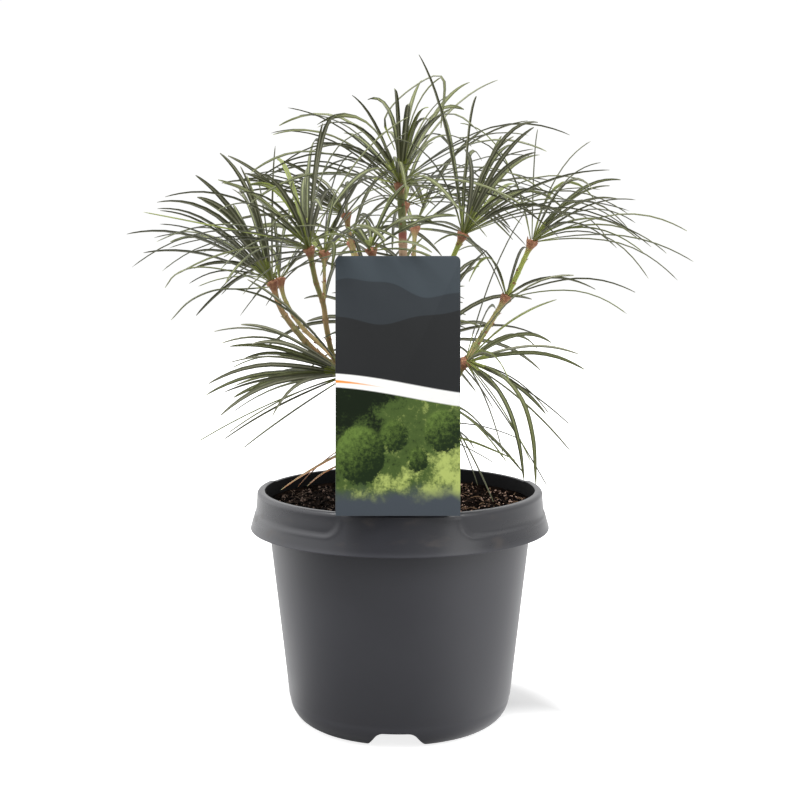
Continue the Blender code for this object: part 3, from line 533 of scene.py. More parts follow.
points = points_of(pot)
radius = np.hypot(points[:, 0], points[:, 1])
height = points[:, 2].copy()
angle = np.arctan2(points[:, 0], -points[:, 1])
depth = into_band(angle, height)
edge = EDGE_SOFT + EDGE_SPREAD * smooth_step(np.abs(angle), 1.6 * SEAT_HALF_ANGLE, 3 * SEAT_HALF_ANGLE)
band = smooth_step(depth, -edge, edge)
ridge = RIDGE_HEIGHT * np.exp(-(((depth + RIDGE_OUT) / RIDGE_SOFT) ** 2))
cone = cone_radius(height)
wall = (radius > cone - NEAR_CONE) & (height > CUFF_FOOT) & (height < LIP_FOOT - HAIR)
band_radius = BAND_RADIUS - BAND_TAPER * smooth_step(height, BAND_FOOT, LIP_FOOT)
pressed = np.where(wall, cone * (1 - band) + band_radius * band + ridge, radius)
lip = (height >= LIP_FOOT - HAIR) & (radius > LIP_INNER)
lip_width = BAND_RADIUS - MOUTH_RADIUS
narrow = MOUTH_RADIUS + (radius - MOUTH_RADIUS) * (CONE_TOP_RADIUS - MOUTH_RADIUS) / lip_width
on_band = radius - BAND_TAPER * (radius - MOUTH_RADIUS) / lip_width
pressed = np.where(lip, on_band * band + narrow * (1 - band), pressed)
back_starts = math.pi - BACK_HALF_ANGLE
at_back = smooth_step(np.abs(angle), back_starts - BACK_SOFT, back_starts + BACK_SOFT)
top_share = smooth_step(height, POT_HEIGHT - 0.0055, POT_HEIGHT - 0.001)
pressed -= np.where(wall | lip, LIP_STEP * at_back * top_share, 0)
points[:, 0] *= pressed / np.maximum(radius, 1e-9)
points[:, 1] *= pressed / np.maximum(radius, 1e-9)
lip_share = smooth_step(height, POT_HEIGHT - 0.003, POT_HEIGHT) * (radius > MOUTH_RADIUS)
points[:, 2] -= LIP_SINK * at_back * lip_share
set_points(pot, points)
print("widest", round(1000 * pressed.max(), 1), "mm")

# %% [markdown]
# Three low openings in the foot let the pot drain and breathe on a flat bench, and six round holes sit in
# the raised channel of the floor. Each is cut with a Boolean. The opening's cutter is a cube whose
# top is drawn in and whose long edges are bevelled, so that the slopes run out softly.

# %% Cut the foot openings and the drain holes
NOTCHES = 3
NOTCH_TOP_WIDTH = 0.022
NOTCH_FOOT_WIDTH = 0.037
NOTCH_TOP = 0.0114
NOTCH_TURN = math.radians(-2)
NOTCH_INNER, NOTCH_OUTER = 0.044, 0.090
NOTCH_BELOW = 0.004
NOTCH_ROUND = 0.0032
DRAIN_HOLES = 6
DRAIN_RADIUS = 0.0045
DRAIN_CIRCLE = 0.0425
DRAIN_TURN = math.radians(33)
DRAIN_DEPTH = 0.012


def foot_cutter():
    select_none()
    middle = (0, -(NOTCH_INNER + NOTCH_OUTER) / 2, (NOTCH_TOP - NOTCH_BELOW) / 2)
    bpy.ops.mesh.primitive_cube_add(size=1, location=middle)
    cutter = bpy.context.object
    slope = (NOTCH_FOOT_WIDTH - NOTCH_TOP_WIDTH) / CHANNEL_HEIGHT
    foot_width = NOTCH_FOOT_WIDTH + slope * NOTCH_BELOW
    cutter.scale = (foot_width, NOTCH_OUTER - NOTCH_INNER, NOTCH_TOP + NOTCH_BELOW)
    place_in_mesh(cutter)
    points = points_of(cutter)
    points[points[:, 2] > 0, 0] *= NOTCH_TOP_WIDTH / foot_width
    set_points(cutter, points)
    edit(cutter, "EDGE")
    bpy.ops.mesh.select_all(action="DESELECT")
    bpy.ops.object.mode_set(mode="OBJECT")
    for edge in cutter.data.edges:
        one, two = (cutter.data.vertices[i].co for i in edge.vertices)
        edge.select = min(one.z, two.z) > 0 and abs(one.x - two.x) < HAIR
    bpy.ops.object.mode_set(mode="EDIT")
    bpy.ops.mesh.bevel(offset=NOTCH_ROUND, segments=5, affect="EDGES")
    bpy.ops.object.mode_set(mode="OBJECT")
    return cutter


def turned_copy(obj, turn):
    """A copy with a mesh of its own, turned round the pot's axis."""
    copy = obj.copy()
    copy.data = obj.data.copy()
    bpy.context.scene.collection.objects.link(copy)
    copy.rotation_euler.z = turn
    place_in_mesh(copy)
    return copy


def drain_cutter():
    select_none()
    bpy.ops.mesh.primitive_cylinder_add(
        vertices=40, radius=DRAIN_RADIUS, depth=DRAIN_DEPTH, location=(DRAIN_CIRCLE, 0, CHANNEL_HEIGHT)
    )
    place_in_mesh(bpy.context.object)
    return bpy.context.object


first_foot, first_drain = foot_cutter(), drain_cutter()
cutters = [turned_copy(first_foot, NOTCH_TURN + math.tau * i / NOTCHES) for i in range(NOTCHES)]
cutters += [turned_copy(first_drain, DRAIN_TURN + math.tau * i / DRAIN_HOLES) for i in range(DRAIN_HOLES)]
for spare in (first_foot, first_drain):
    bpy.data.objects.remove(spare, do_unlink=True)
for cutter in cutters:
    cut = pot.modifiers.new("cut", "BOOLEAN")
    cut.operation = "DIFFERENCE"
    cut.solver = "MANIFOLD"
    cut.object = cutter
apply_modifiers(pot)
for cutter in cutters:
    bpy.data.objects.remove(cutter, do_unlink=True)
smooth_shaded(pot, 32)
print("pot", len(pot.data.polygons), "faces after the cuts")

# %% [markdown]
# The plastic is a dark grey recycled blend: satin, with a faint grain from the mould, slightly cloudy,
# and brushed with dry peat dust on the cuff where hands and soil have been. The cuff is smoother than
# the wall, and it is coloured a deeper grey as painted shade. The inner wall is coloured near black as
# painted shade inside the pot, and shines little.

# %% Grey moulded plastic
PLASTIC_GREY = (0.034, 0.0345, 0.041)
WALL_TONES = (0.035, 0.0355, 0.0425), (0.043, 0.0435, 0.0515)
# The cuff's tones are darker than the wall's: painted shade.
CUFF_SHADE_TONES = (0.017, 0.0175, 0.0215), (0.024, 0.0245, 0.0295)
PEAT_DUST = (0.070, 0.052, 0.040)
INSIDE_SHADE_BLACK = (0.004, 0.004, 0.0045)

grey_plastic = Finish("grey_moulded_plastic", PLASTIC_GREY, 0.35)
cloud = grey_plastic.noise(0.035, 4)
grain = grey_plastic.noise(0.0009, 2)
smudge = grey_plastic.noise(0.022, 5, (1, 1, 2.2))
on_cuff = grey_plastic.ramp(grey_plastic.axis("Z"), SKIRT_HEIGHT - 0.001, SKIRT_HEIGHT + 0.004)
dust = grey_plastic.ramp(smudge, 0.54, 0.74) * on_cuff * 0.30
# Above the skirt the cuff takes the darker tones, as painted shade.
tone = grey_plastic.mix(on_cuff, grey_plastic.mix(cloud, *WALL_TONES), grey_plastic.mix(cloud, *CUFF_SHADE_TONES))
grey_plastic.give("Base Color", grey_plastic.mix(dust, tone, PEAT_DUST))
grey_plastic.give("Roughness", 0.28 + cloud * 0.12 + dust * 0.5 - on_cuff * 0.06)
grey_plastic.bump(grain * 0.6 + cloud * 0.8, 0.00005, 0.6)
# Painted shade: the inner wall above the pot's floor is near black and shines little.
inside_painted_shade = Finish("inside_painted_shade", INSIDE_SHADE_BLACK, 0.6, Specular_IOR_Level=0.12)
inside_painted_shade.give("Roughness", 0.55 + inside_painted_shade.noise(0.02, 3) * 0.2)
pot.data.materials.clear()
pot.data.materials.append(grey_plastic.material)
pot.data.materials.append(inside_painted_shade.material)
# Faces on the inside of the wall, above the pot's floor, take the painted shade.
for face in pot.data.polygons:
    inward = face.center.x * face.normal.x + face.center.y * face.normal.y < -HAIR
    within = math.hypot(face.center.x, face.center.y) < MOUTH_RADIUS + HAIR
    face.material_index = int(inward and within and face.center.z > CHANNEL_HEIGHT + FLOOR_THICKNESS)
hand_over(pot, "pot", "pot")

# %% [markdown]
# ## The peat
#
# The pot is filled with dark, crumbly peat to about a centimetre below the lip. The body of it is spun
# like the pot, with rings close together on top, and the top is then roughened with noise. Crumbs
# and fibres lie on it. Each crumb is one rough pebble, turned and stretched, and all of them are one
# mesh made from arrays, because thousands of separate objects would be slow.

# %% Spin and roughen the peat
SOIL_TOP = 0.1398
SOIL_CROWN = 0.0006
SOIL_EDGE = 0.0853
SOIL_BANK = 0.0012
GAP = 0.0003
CALM_AT_WALL = 0.006
# Lumps, clods and grit: how many to a metre, the slice of the noise, and how high they rise
SOIL_LUMPS = ((90, 1.7, 0.0013), (330, 5.2, 0.0009), (900, 9.1, 0.0004))


def soil_height(across, along):
    """Lumps of three sizes, calmer at the wall."""
    calm = np.clip((SOIL_EDGE - np.hypot(across, along)) / CALM_AT_WALL, 0, 1)
    rise = np.empty_like(across)
    for i, (x, y) in enumerate(zip(across, along)):
        rise[i] = sum(noise.noise((x * fine, y * fine, cut)) * high for fine, cut, high in SOIL_LUMPS)
    return rise * (0.25 + 0.75 * calm)


soil_floor = CHANNEL_HEIGHT + FLOOR_THICKNESS + GAP
section = [(r, SOIL_TOP) for r in np.linspace(0, SOIL_EDGE, 96)]
section += [
    (SOIL_EDGE, SOIL_TOP - 0.0014),
    (body_radius(STEP_LOW) - WALL - GAP, STEP_LOW),
    (body_radius(FOOT_LINE) - WALL - GAP, FOOT_LINE + 0.0014),
    (body_radius(soil_floor) - WALL - 0.0036, soil_floor),
    (PAD_RADIUS + PAD_SLOPE - PAD_WALL - GAP, soil_floor),
    (PAD_RADIUS - PAD_WALL - 0.0006, FLOOR_THICKNESS + GAP),
    (0, FLOOR_THICKNESS + GAP),
]
peat = spun("peat", section, 200)
points = points_of(peat)
top = points[:, 2] > SOIL_TOP - HAIR
away = np.hypot(points[top, 0], points[top, 1]) / SOIL_EDGE
points[top, 2] += SOIL_CROWN * (1 - away) + soil_height(points[top, 0], points[top, 1]) - 0.0004
points[top, 2] += SOIL_BANK * smooth_step(away, 0.93, 1.0)
set_points(peat, points)
smooth_shaded(peat, 60)
print("peat", len(peat.data.polygons), "faces")

# %% Crumbs
CRUMBS = 5600
CRUMB_LEAST, CRUMB_MORE = 0.0003, 0.0010
CRUMB_STRETCH = (0.6, 1.3)
CRUMB_FLATNESS = 0.95
CRUMB_SHARES = (0.46, 0.26, 0.16, 0.12)
CRUMB_MARGIN = 0.0012
FREE_OF_TRUNK = 0.0115
# How dark the painted shade on the left of the peat is, and how bright the painted light on the right.
LEFT_PAINTED_SHADE, RIGHT_PAINTED_LIGHT = 0.45, 1.7


def pebble():
    """A rough pebble of twenty faces."""
    select_none()
    bpy.ops.mesh.primitive_ico_sphere_add(subdivisions=1, radius=1, location=(0, 0, 0))
    obj = bpy.context.object
    shape = points_of(obj), np.array([list(face.vertices) for face in obj.data.polygons])
    bpy.data.objects.remove(obj, do_unlink=True)
    return shape


def crumb_finish(name, colour, shine):
    """A crumb's colour: deeper on the left as painted shade, and paler on the right as painted light."""
    made = Finish(name, colour, 0.85, Specular_IOR_Level=shine)
    # Painted shade on the left of the peat and painted light on the right, with a ragged edge between.
    lit_side = made.ramp(made.axis("X") + (made.noise(0.010, 4) - 0.5) * 0.07, -0.050, 0.050)
    shaded_tone, lit_tone = [tuple(channel * shade for channel in colour) for shade in (LEFT_PAINTED_SHADE, RIGHT_PAINTED_LIGHT)]
    made.give("Base Color", made.mix(lit_side, shaded_tone, lit_tone))
    made.give("Roughness", 0.78 + lit_side * 0.14)
    return made


pebble_points, pebble_faces = pebble()
draw = np.random.default_rng(11)
reach = SOIL_EDGE - CRUMB_MARGIN
around = draw.uniform(0, math.tau, CRUMBS)
out = reach * np.sqrt(draw.uniform(0.002, 1, CRUMBS))
middle = np.stack([out * np.cos(around), out * np.sin(around)], 1)
ground = SOIL_TOP + soil_height(middle[:, 0], middle[:, 1]) - 0.0002
size = CRUMB_LEAST + CRUMB_MORE * draw.power(0.5, CRUMBS)
from_middle = np.hypot(*middle.T)
size[from_middle > reach - 0.002] *= 0.6
points, faces, kinds = [], [], []
for i in np.flatnonzero(from_middle >= FREE_OF_TRUNK):
    stretch = draw.uniform(*CRUMB_STRETCH, 3) * size[i]
    turn = draw.uniform(0, math.tau)
    shape = pebble_points * (1 + draw.uniform(-0.25, 0.25, (len(pebble_points), 1))) * stretch
    x = shape[:, 0] * math.cos(turn) - shape[:, 1] * math.sin(turn)
    y = shape[:, 0] * math.sin(turn) + shape[:, 1] * math.cos(turn)
    faces += (pebble_faces + len(pebble_points) * len(points)).tolist()
    z = shape[:, 2] * CRUMB_FLATNESS + ground[i]
    points.append(np.stack([x + middle[i, 0], y + middle[i, 1], z], 1))
    kinds += [int(draw.choice(4, p=CRUMB_SHARES))] * len(pebble_faces)
crumb_finishes = [
    crumb_finish("peat_black", (0.002, 0.0012, 0.001), 0.02),
    crumb_finish("peat_dark", (0.007, 0.0035, 0.0025), 0.03),
    crumb_finish("peat_brown", (0.052, 0.031, 0.021), 0.1),
    crumb_finish("bark_crumb", (0.230, 0.155, 0.120), 0.2),
]
crumbs = mesh_from("peat_crumbs", np.concatenate(points), faces, [f.material for f in crumb_finishes], kinds)
print("crumbs", len(points))

# %% Fibres
FIBRES = 130
FIBRE_LENGTH, FIBRE_THICK = (0.003, 0.008), (0.00012, 0.00028)
FIBRE_STEPS = 3
TINY_DOUBLES = 0.0000005

points, faces = [], []
for _ in range(FIBRES):
    out = reach * 0.97 * math.sqrt(draw.uniform(0.05, 1))
    turn, heading = draw.uniform(0, math.tau), draw.uniform(0, math.tau)
    start = np.array([out * math.cos(turn), out * math.sin(turn)])
    run, thick = draw.uniform(*FIBRE_LENGTH), draw.uniform(*FIBRE_THICK)
    bend = draw.uniform(-0.6, 0.6)
    base = len(points)
    for k in range(FIBRE_STEPS + 1):
        way = heading + bend * k / FIBRE_STEPS
        x, y = start + run * k / FIBRE_STEPS * np.array([math.cos(way), math.sin(way)])
        away = math.hypot(x, y)
        if away > reach:
            x, y = x * reach / away, y * reach / away
        z = SOIL_TOP + 0.0006 + 0.0009 * math.sin(math.pi * k / FIBRE_STEPS)
        beside = np.array([-math.sin(way), math.cos(way)]) * thick
        points += [(x + beside[0], y + beside[1], z), (x - beside[0], y - beside[1], z)]
        points.append((x, y, z + 1.6 * thick))
    for k in range(FIBRE_STEPS):
        a = base + 3 * k
        faces += [(a + m, a + n, a + n + 3, a + m + 3) for m, n in ((0, 1), (1, 2), (2, 0))]
    faces += [(base + 2, base + 1, base), (base + 9, base + 10, base + 11)]
# The fibres take the same painted shade and light as the crumbs.
fibre = crumb_finish("peat_fibre", (0.10, 0.062, 0.035), 0.3)
fibres = mesh_from("peat_fibres", points, faces, [fibre.material])
face_outwards(fibres, TINY_DOUBLES)
print("fibres", FIBRES)

# %% [markdown]
# Between the crumbs the peat is nearly black, because moist peat swallows light. Its colour is mottled and
# its skin is bumped finely, which costs no more faces.

# %% Dark moist peat
PEAT_BROWN, PEAT_DAMP, PEAT_DRY = (0.006, 0.004, 0.003), (0.0012, 0.0008, 0.0006), (0.012, 0.007, 0.0045)

dark_peat = Finish("dark_peat", PEAT_BROWN, 0.95, Specular_IOR_Level=0.02)
mottle = dark_peat.noise(0.006, 6, roughness=0.65)
dark_peat.give("Base Color", dark_peat.mix(dark_peat.ramp(mottle, 0.35, 0.75), PEAT_DAMP, PEAT_DRY))
dark_peat.bump(dark_peat.noise(0.0012, 4, roughness=0.7), 0.0006, 0.9)
peat.data.materials.clear()
peat.data.materials.append(dark_peat.material)
hand_over(peat, "peat", "soil")
for piece in (crumbs, fibres):
    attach(piece, "root")

# %% [markdown]
# ## The picture card
#
# Garden centres hook a laminated card over the lip: a thin stiff sheet with rounded top corners, and a
# narrow stake that runs over the lip and down into the peat. It starts as a plane. Bevelled corners and a
# Solidify modifier make the sheet, and the stake is one edge extruded along its path.

# %% Cut and thicken the card
CARD_WIDTH = 0.0724
CARD_HEIGHT = 0.1505
CARD_MIDDLE = -0.0011
CARD_THICKNESS = 0.0006
CARD_CORNER = 0.003
CARD_FRONT = -0.0925
CARD_LEAN = math.radians(7.1)
STAKE_WIDTH = 0.018
STAKE_DEPTH = 0.034
STAKE_BEND, STAKE_TOP, STAKE_TIP = -0.0838, -0.0832, -0.0766


def card_sheet():
    select_none()
    bpy.ops.mesh.primitive_plane_add(size=1, location=(0, CARD_HEIGHT / 2, 0))
    sheet = bpy.context.object
    sheet.name = "picture_card"
    sheet.scale = (CARD_WIDTH, CARD_HEIGHT, 1)
    place_in_mesh(sheet)
    edit(sheet)
    bpy.ops.mesh.select_all(action="DESELECT")
    bpy.ops.object.mode_set(mode="OBJECT")
    for corner in sheet.data.vertices:
        corner.select = corner.co.y > CARD_HEIGHT / 2
    bpy.ops.object.mode_set(mode="EDIT")
    bpy.ops.mesh.bevel(offset=CARD_CORNER, segments=10, affect="VERTICES")
    bpy.ops.object.mode_set(mode="OBJECT")
    thicken(sheet)
    sheet.location = (CARD_MIDDLE, CARD_FRONT, POT_HEIGHT + GAP)
    sheet.rotation_euler.x = math.pi / 2 - CARD_LEAN
    place_in_mesh(sheet)
    return sheet


def thicken(sheet):
    wall = sheet.modifiers.new("thickness", "SOLIDIFY")
    wall.thickness = CARD_THICKNESS
    wall.offset = 0
    rim = sheet.modifiers.new("soft edge", "BEVEL")
    rim.width = CARD_THICKNESS * 0.2
    rim.segments = 2
    apply_modifiers(sheet)


def card_stake():
    over = POT_HEIGHT + GAP + CARD_THICKNESS / 2
    path = [(CARD_FRONT, over), (STAKE_BEND, over)]
    path += [(STAKE_TOP, POT_HEIGHT - 0.0012), (STAKE_TIP, POT_HEIGHT - STAKE_DEPTH)]
    select_none()
    bpy.ops.mesh.primitive_plane_add(size=STAKE_WIDTH, location=(0, 0, 0))
    stake = bpy.context.object
    edit(stake)
    bpy.ops.mesh.select_all(action="SELECT")
    bpy.ops.transform.resize(value=(1, 0, 1))
    bpy.ops.mesh.remove_doubles(threshold=0.00001)
    bpy.ops.transform.translate(value=(0, *path[0]))
    for one, two in zip(path, path[1:]):
        step = (0, two[0] - one[0], two[1] - one[1])
        bpy.ops.mesh.extrude_region_move(TRANSFORM_OT_translate={"value": step})
    bpy.ops.object.mode_set(mode="OBJECT")
    thicken(stake)
    return stake


card, stake = card_sheet(), card_stake()
join = card.modifiers.new("stake", "BOOLEAN")
join.operation = "UNION"
join.solver = "EXACT"
join.object = stake
apply_modifiers(card)
bpy.data.objects.remove(stake, do_unlink=True)
smooth_shaded(card, 30)
print("card", len(card.data.polygons), "faces")

# %% [markdown]
# The card's print is a plain garden motif in the colours such cards have: soft hills under a slate sky,
# a white and an orange stripe, and a meadow with round shrubs above a slate foot. Each part is a mask
# worked out from how far across and how far up the card a point lies.

# %% Bands of the print
printed = Finish("printed_card_front", (0.06, 0.075, 0.09), 0.55, Specular_IOR_Level=0.15)
u = (printed.axis("X") - (CARD_MIDDLE - CARD_WIDTH / 2)) / CARD_WIDTH
up = (printed.axis("Z") - POT_HEIGHT) / (CARD_HEIGHT * math.cos(CARD_LEAN))
speckle = printed.noise(0.0022, 6, roughness=0.75)
patches = printed.noise(0.011, 3)


def wave(turns, start, size):
    return printed.math("SINE", u * (turns * math.tau) + start) * size


def above(line, soft=0.003):
    """1 where the card lies above a line, 0 below it."""
    return printed.ramp(up - line, -soft, soft)


SLATE, DEEP_SLATE, CHARCOAL = (0.043, 0.054, 0.063), (0.030, 0.035, 0.040), (0.019, 0.020, 0.021)
WHITE, ORANGE, FOOT_SLATE = (0.86, 0.86, 0.84), (0.80, 0.27, 0.035), (0.060, 0.072, 0.086)

low_line = 0.455 + wave(0.32, 1.9, 0.045)
sky = printed.mix(above(0.88 + wave(0.8, 0.6, 0.035) + wave(2.3, 1.0, 0.008)), DEEP_SLATE, SLATE)
field = printed.mix(above(0.775 + wave(0.6, 3.4, 0.030) + wave(1.9, 0.3, 0.007)), CHARCOAL, sky)
striped = printed.mix(above(low_line + 0.052), WHITE, field)
striped = printed.mix(above(low_line + 0.028 - u * 0.020), ORANGE, striped)
striped = printed.mix(above(low_line + 0.017 + u * 0.012), WHITE, striped)
print("print", len(printed.tree.nodes), "nodes for hills and stripes")

# %% Meadow, shrubs and the card's back
DARK_LEAF, MID_LEAF, BRIGHT_LEAF = (0.006, 0.012, 0.004), (0.062, 0.102, 0.024), (0.42, 0.50, 0.140)
SHRUB_SHADE, SHRUB_LIGHT = (0.010, 0.022, 0.006), (0.125, 0.20, 0.040)
SHRUBS = ((0.20, 0.235, 0.155), (0.47, 0.31, 0.085), (0.66, 0.22, 0.065), (0.86, 0.33, 0.115))

shade = patches * 0.9 + speckle * 0.75 + u * 0.42 - up * 0.75
leaves = printed.mix(printed.ramp(shade, 0.55, 0.80), DARK_LEAF, MID_LEAF)
leaves = printed.mix(printed.ramp(shade, 0.86, 1.18), leaves, BRIGHT_LEAF)
for middle, rise, size in SHRUBS:
    beside = (u - middle) * (CARD_WIDTH / CARD_HEIGHT)
    over = (up - rise) * 0.86
    distance = printed.math("SQRT", beside * beside + over * over) + (speckle - 0.5) * 0.06
    shrub = printed.ramp(size * 0.62 - distance, -0.006, 0.006)
    lit = printed.ramp(speckle * 0.7 + (up - rise) * 1.5 - beside * 1.2, 0.22, 0.60)
    leaves = printed.mix(shrub, leaves, printed.mix(lit, SHRUB_SHADE, SHRUB_LIGHT))
foot = printed.ramp(up + (patches - 0.5) * 0.10, 0.055, 0.135)
meadow = printed.mix(foot, FOOT_SLATE, leaves)
printed.give("Base Color", printed.mix(above(low_line), meadow, striped))
printed.give("Roughness", 0.5 + patches * 0.1)
plain_back = Finish("plain_card_back", (0.045, 0.050, 0.056), 0.5)
plain_back.give("Roughness", 0.42 + plain_back.noise(0.02, 3) * 0.16)
plain_back.bump(plain_back.noise(0.0006, 2), 0.00002, 0.5)
card.data.materials.clear()
card.data.materials.append(plain_back.material)
card.data.materials.append(printed.material)
facing = Vector((0, -math.cos(CARD_LEAN), math.sin(CARD_LEAN)))
for face in card.data.polygons:
    face.material_index = int(face.normal.dot(facing) > 0.99 and face.area > CARD_WIDTH * CARD_HEIGHT * 0.2)
hand_over(card, "card", "card")

# %% [markdown]
# ## How the plant grows
#
# An umbrella pine grows in steps. Each year's shoot ends in a bud, and round that bud stands one whorl of
# needles. Two tables give the plan: where each whorl is and which way it opens, and the places each
# limb passes. The needles then follow from a rule: each stands a golden turn from the one before, leans
# out a little further, and arches under its own weight. One that would touch a neighbour's whorl, a
# limb, the pot or the card is turned a little, or left out.

# %% Whorls and limbs
def whorl(name, at, axis, count, length, lean, tilt, droop, seed):
    """One ring of needles, in millimetres and degrees: where its knob is, which way it opens, how many
    needles it has and how long, which way they are drawn, how far its first and last needles lean out,
    how far they droop, and the seed of its small differences."""
    axis = np.array(axis, float)
    return {
        "name": name,
        "at": np.array(at, float) / 1000,
        "axis": axis / np.linalg.norm(axis),
        "count": count,
        "length": length / 1000,
        "lean": np.array(lean, float),
        "tilt": tilt,
        "droop": droop,
        "seed": seed,
    }


# Whorls, the ones that show most first
WHORLS = [
    whorl("left_low", (-78.5, -20, 281.5), (-0.49, 0.09, 0.87), 23, 97,
          (-0.02, 0.09, 0.13), (8, 43), 0.33, 936),
    whorl("left_low_back", (-76.5, 16, 281.5), (-0.29, 0.25, 0.92), 13, 65,
          (-0.06, 0.4, 0.02), (15, 75), 0.38, 412),
    whorl("left_front", (-54.2, -45, 303.0), (-0.02, -0.16, 0.99), 23, 103,
          (-0.82, -0.02, 0.2), (12, 81), 0.44, 250),
    whorl("left_inner", (-47.1, -6, 298.5), (-0.07, 0.07, 0.99), 17, 103,
          (-0.36, 0.03, -0.44), (12, 64), 0.59, 491),
    whorl("low_front", (-17.0, -52, 302.5), (-0.22, -0.26, 0.94), 13, 58,
          (0.22, -0.01, 0.28), (8, 101), 0.46, 137),
    whorl("top", (0.1, 0, 342.0), (0.03, -0.03, 1), 36, 113,
          (-0.04, -0.01, 0.11), (4, 99), 0.51, 581),
    whorl("right_mid", (67.0, 5, 270.6), (0.42, 0, 0.9), 10, 85,
          (0.14, -0.21, 0.41), (34, 65), 0.55, 396),
    whorl("right_inner", (38.7, -20, 311.0), (0.26, -0.04, 0.97), 24, 111,
          (0.6, -0.02, 0.5), (4, 80), 0.45, 379),
    whorl("right_high", (83.4, 10, 305.5), (0.74, -0.04, 0.68), 21, 97,
          (-0.08, -0.1, 0.51), (3, 67), 0.67, 166),
    whorl("left_skirt", (-32.0, -36, 226.2), (-0.95, -0.12, 0.28), 23, 97,
          (-0.34, -0.03, 0.08), (5, 64), 0.26, 676),
    whorl("right_skirt", (40.2, -36, 234.2), (0.98, -0.16, 0.09), 15, 92,
          (0.51, 0.04, 0.15), (15, 104), 0.45, 593),
    whorl("right_foot", (25.7, -12, 206.6), (0.78, -0.23, 0.58), 10, 68,
          (0.41, -0.11, -0.28), (30, 100), 0.67, 595),
    whorl("foot", (1.4, 0, 187.3), (-0.15, -0.03, 0.99), 10, 110,
          (0.01, 0.05, -0.21), (78, 108), 0.6, 960),
    whorl("left_back", (-35.1, 45, 322.5), (-0.23, 0.19, 0.96), 19, 78,
          (-0.27, 0.07, 0.28), (18, 89), 0.28, 411),
    whorl("right_back", (3.0, 55, 329.0), (0.01, 0.21, 0.98), 21, 102,
          (-0.02, 0.06, 0.07), (14, 86), 0.52, 684),
    whorl("back_left", (-32.5, 85, 303.2), (-0.4, 0.45, 0.8), 19, 94,
          (0.2, 0.42, 0.02), (23, 89), 0.68, 437),
    whorl("back_right", (10.4, 100, 313.0), (-0.29, 0.5, 0.82), 20, 100,
          (-0.09, 0.33, 0.01), (5, 104), 0.24, 115),
    whorl("low_back_left", (-17.0, 85, 244.0), (-0.1, 0.8, 0.6), 18, 74,
          (0, 0.4, 0), (20, 96), 0.45, 18),
    whorl("low_back_right", (20.3, 70, 237.1), (0.31, 0.72, 0.62), 18, 80,
          (0.15, 0.3, 0), (20, 96), 0.45, 19),
    whorl("low_inner", (0.1, -45, 257.4), (0, -0.53, 0.85), 12, 50,
          (0, -0.1, 0), (25, 95), 0.3, 20),
]
AT = {each["name"]: each["at"] for each in WHORLS}
FORK = (-0.0463, -0.034, 0.2687)

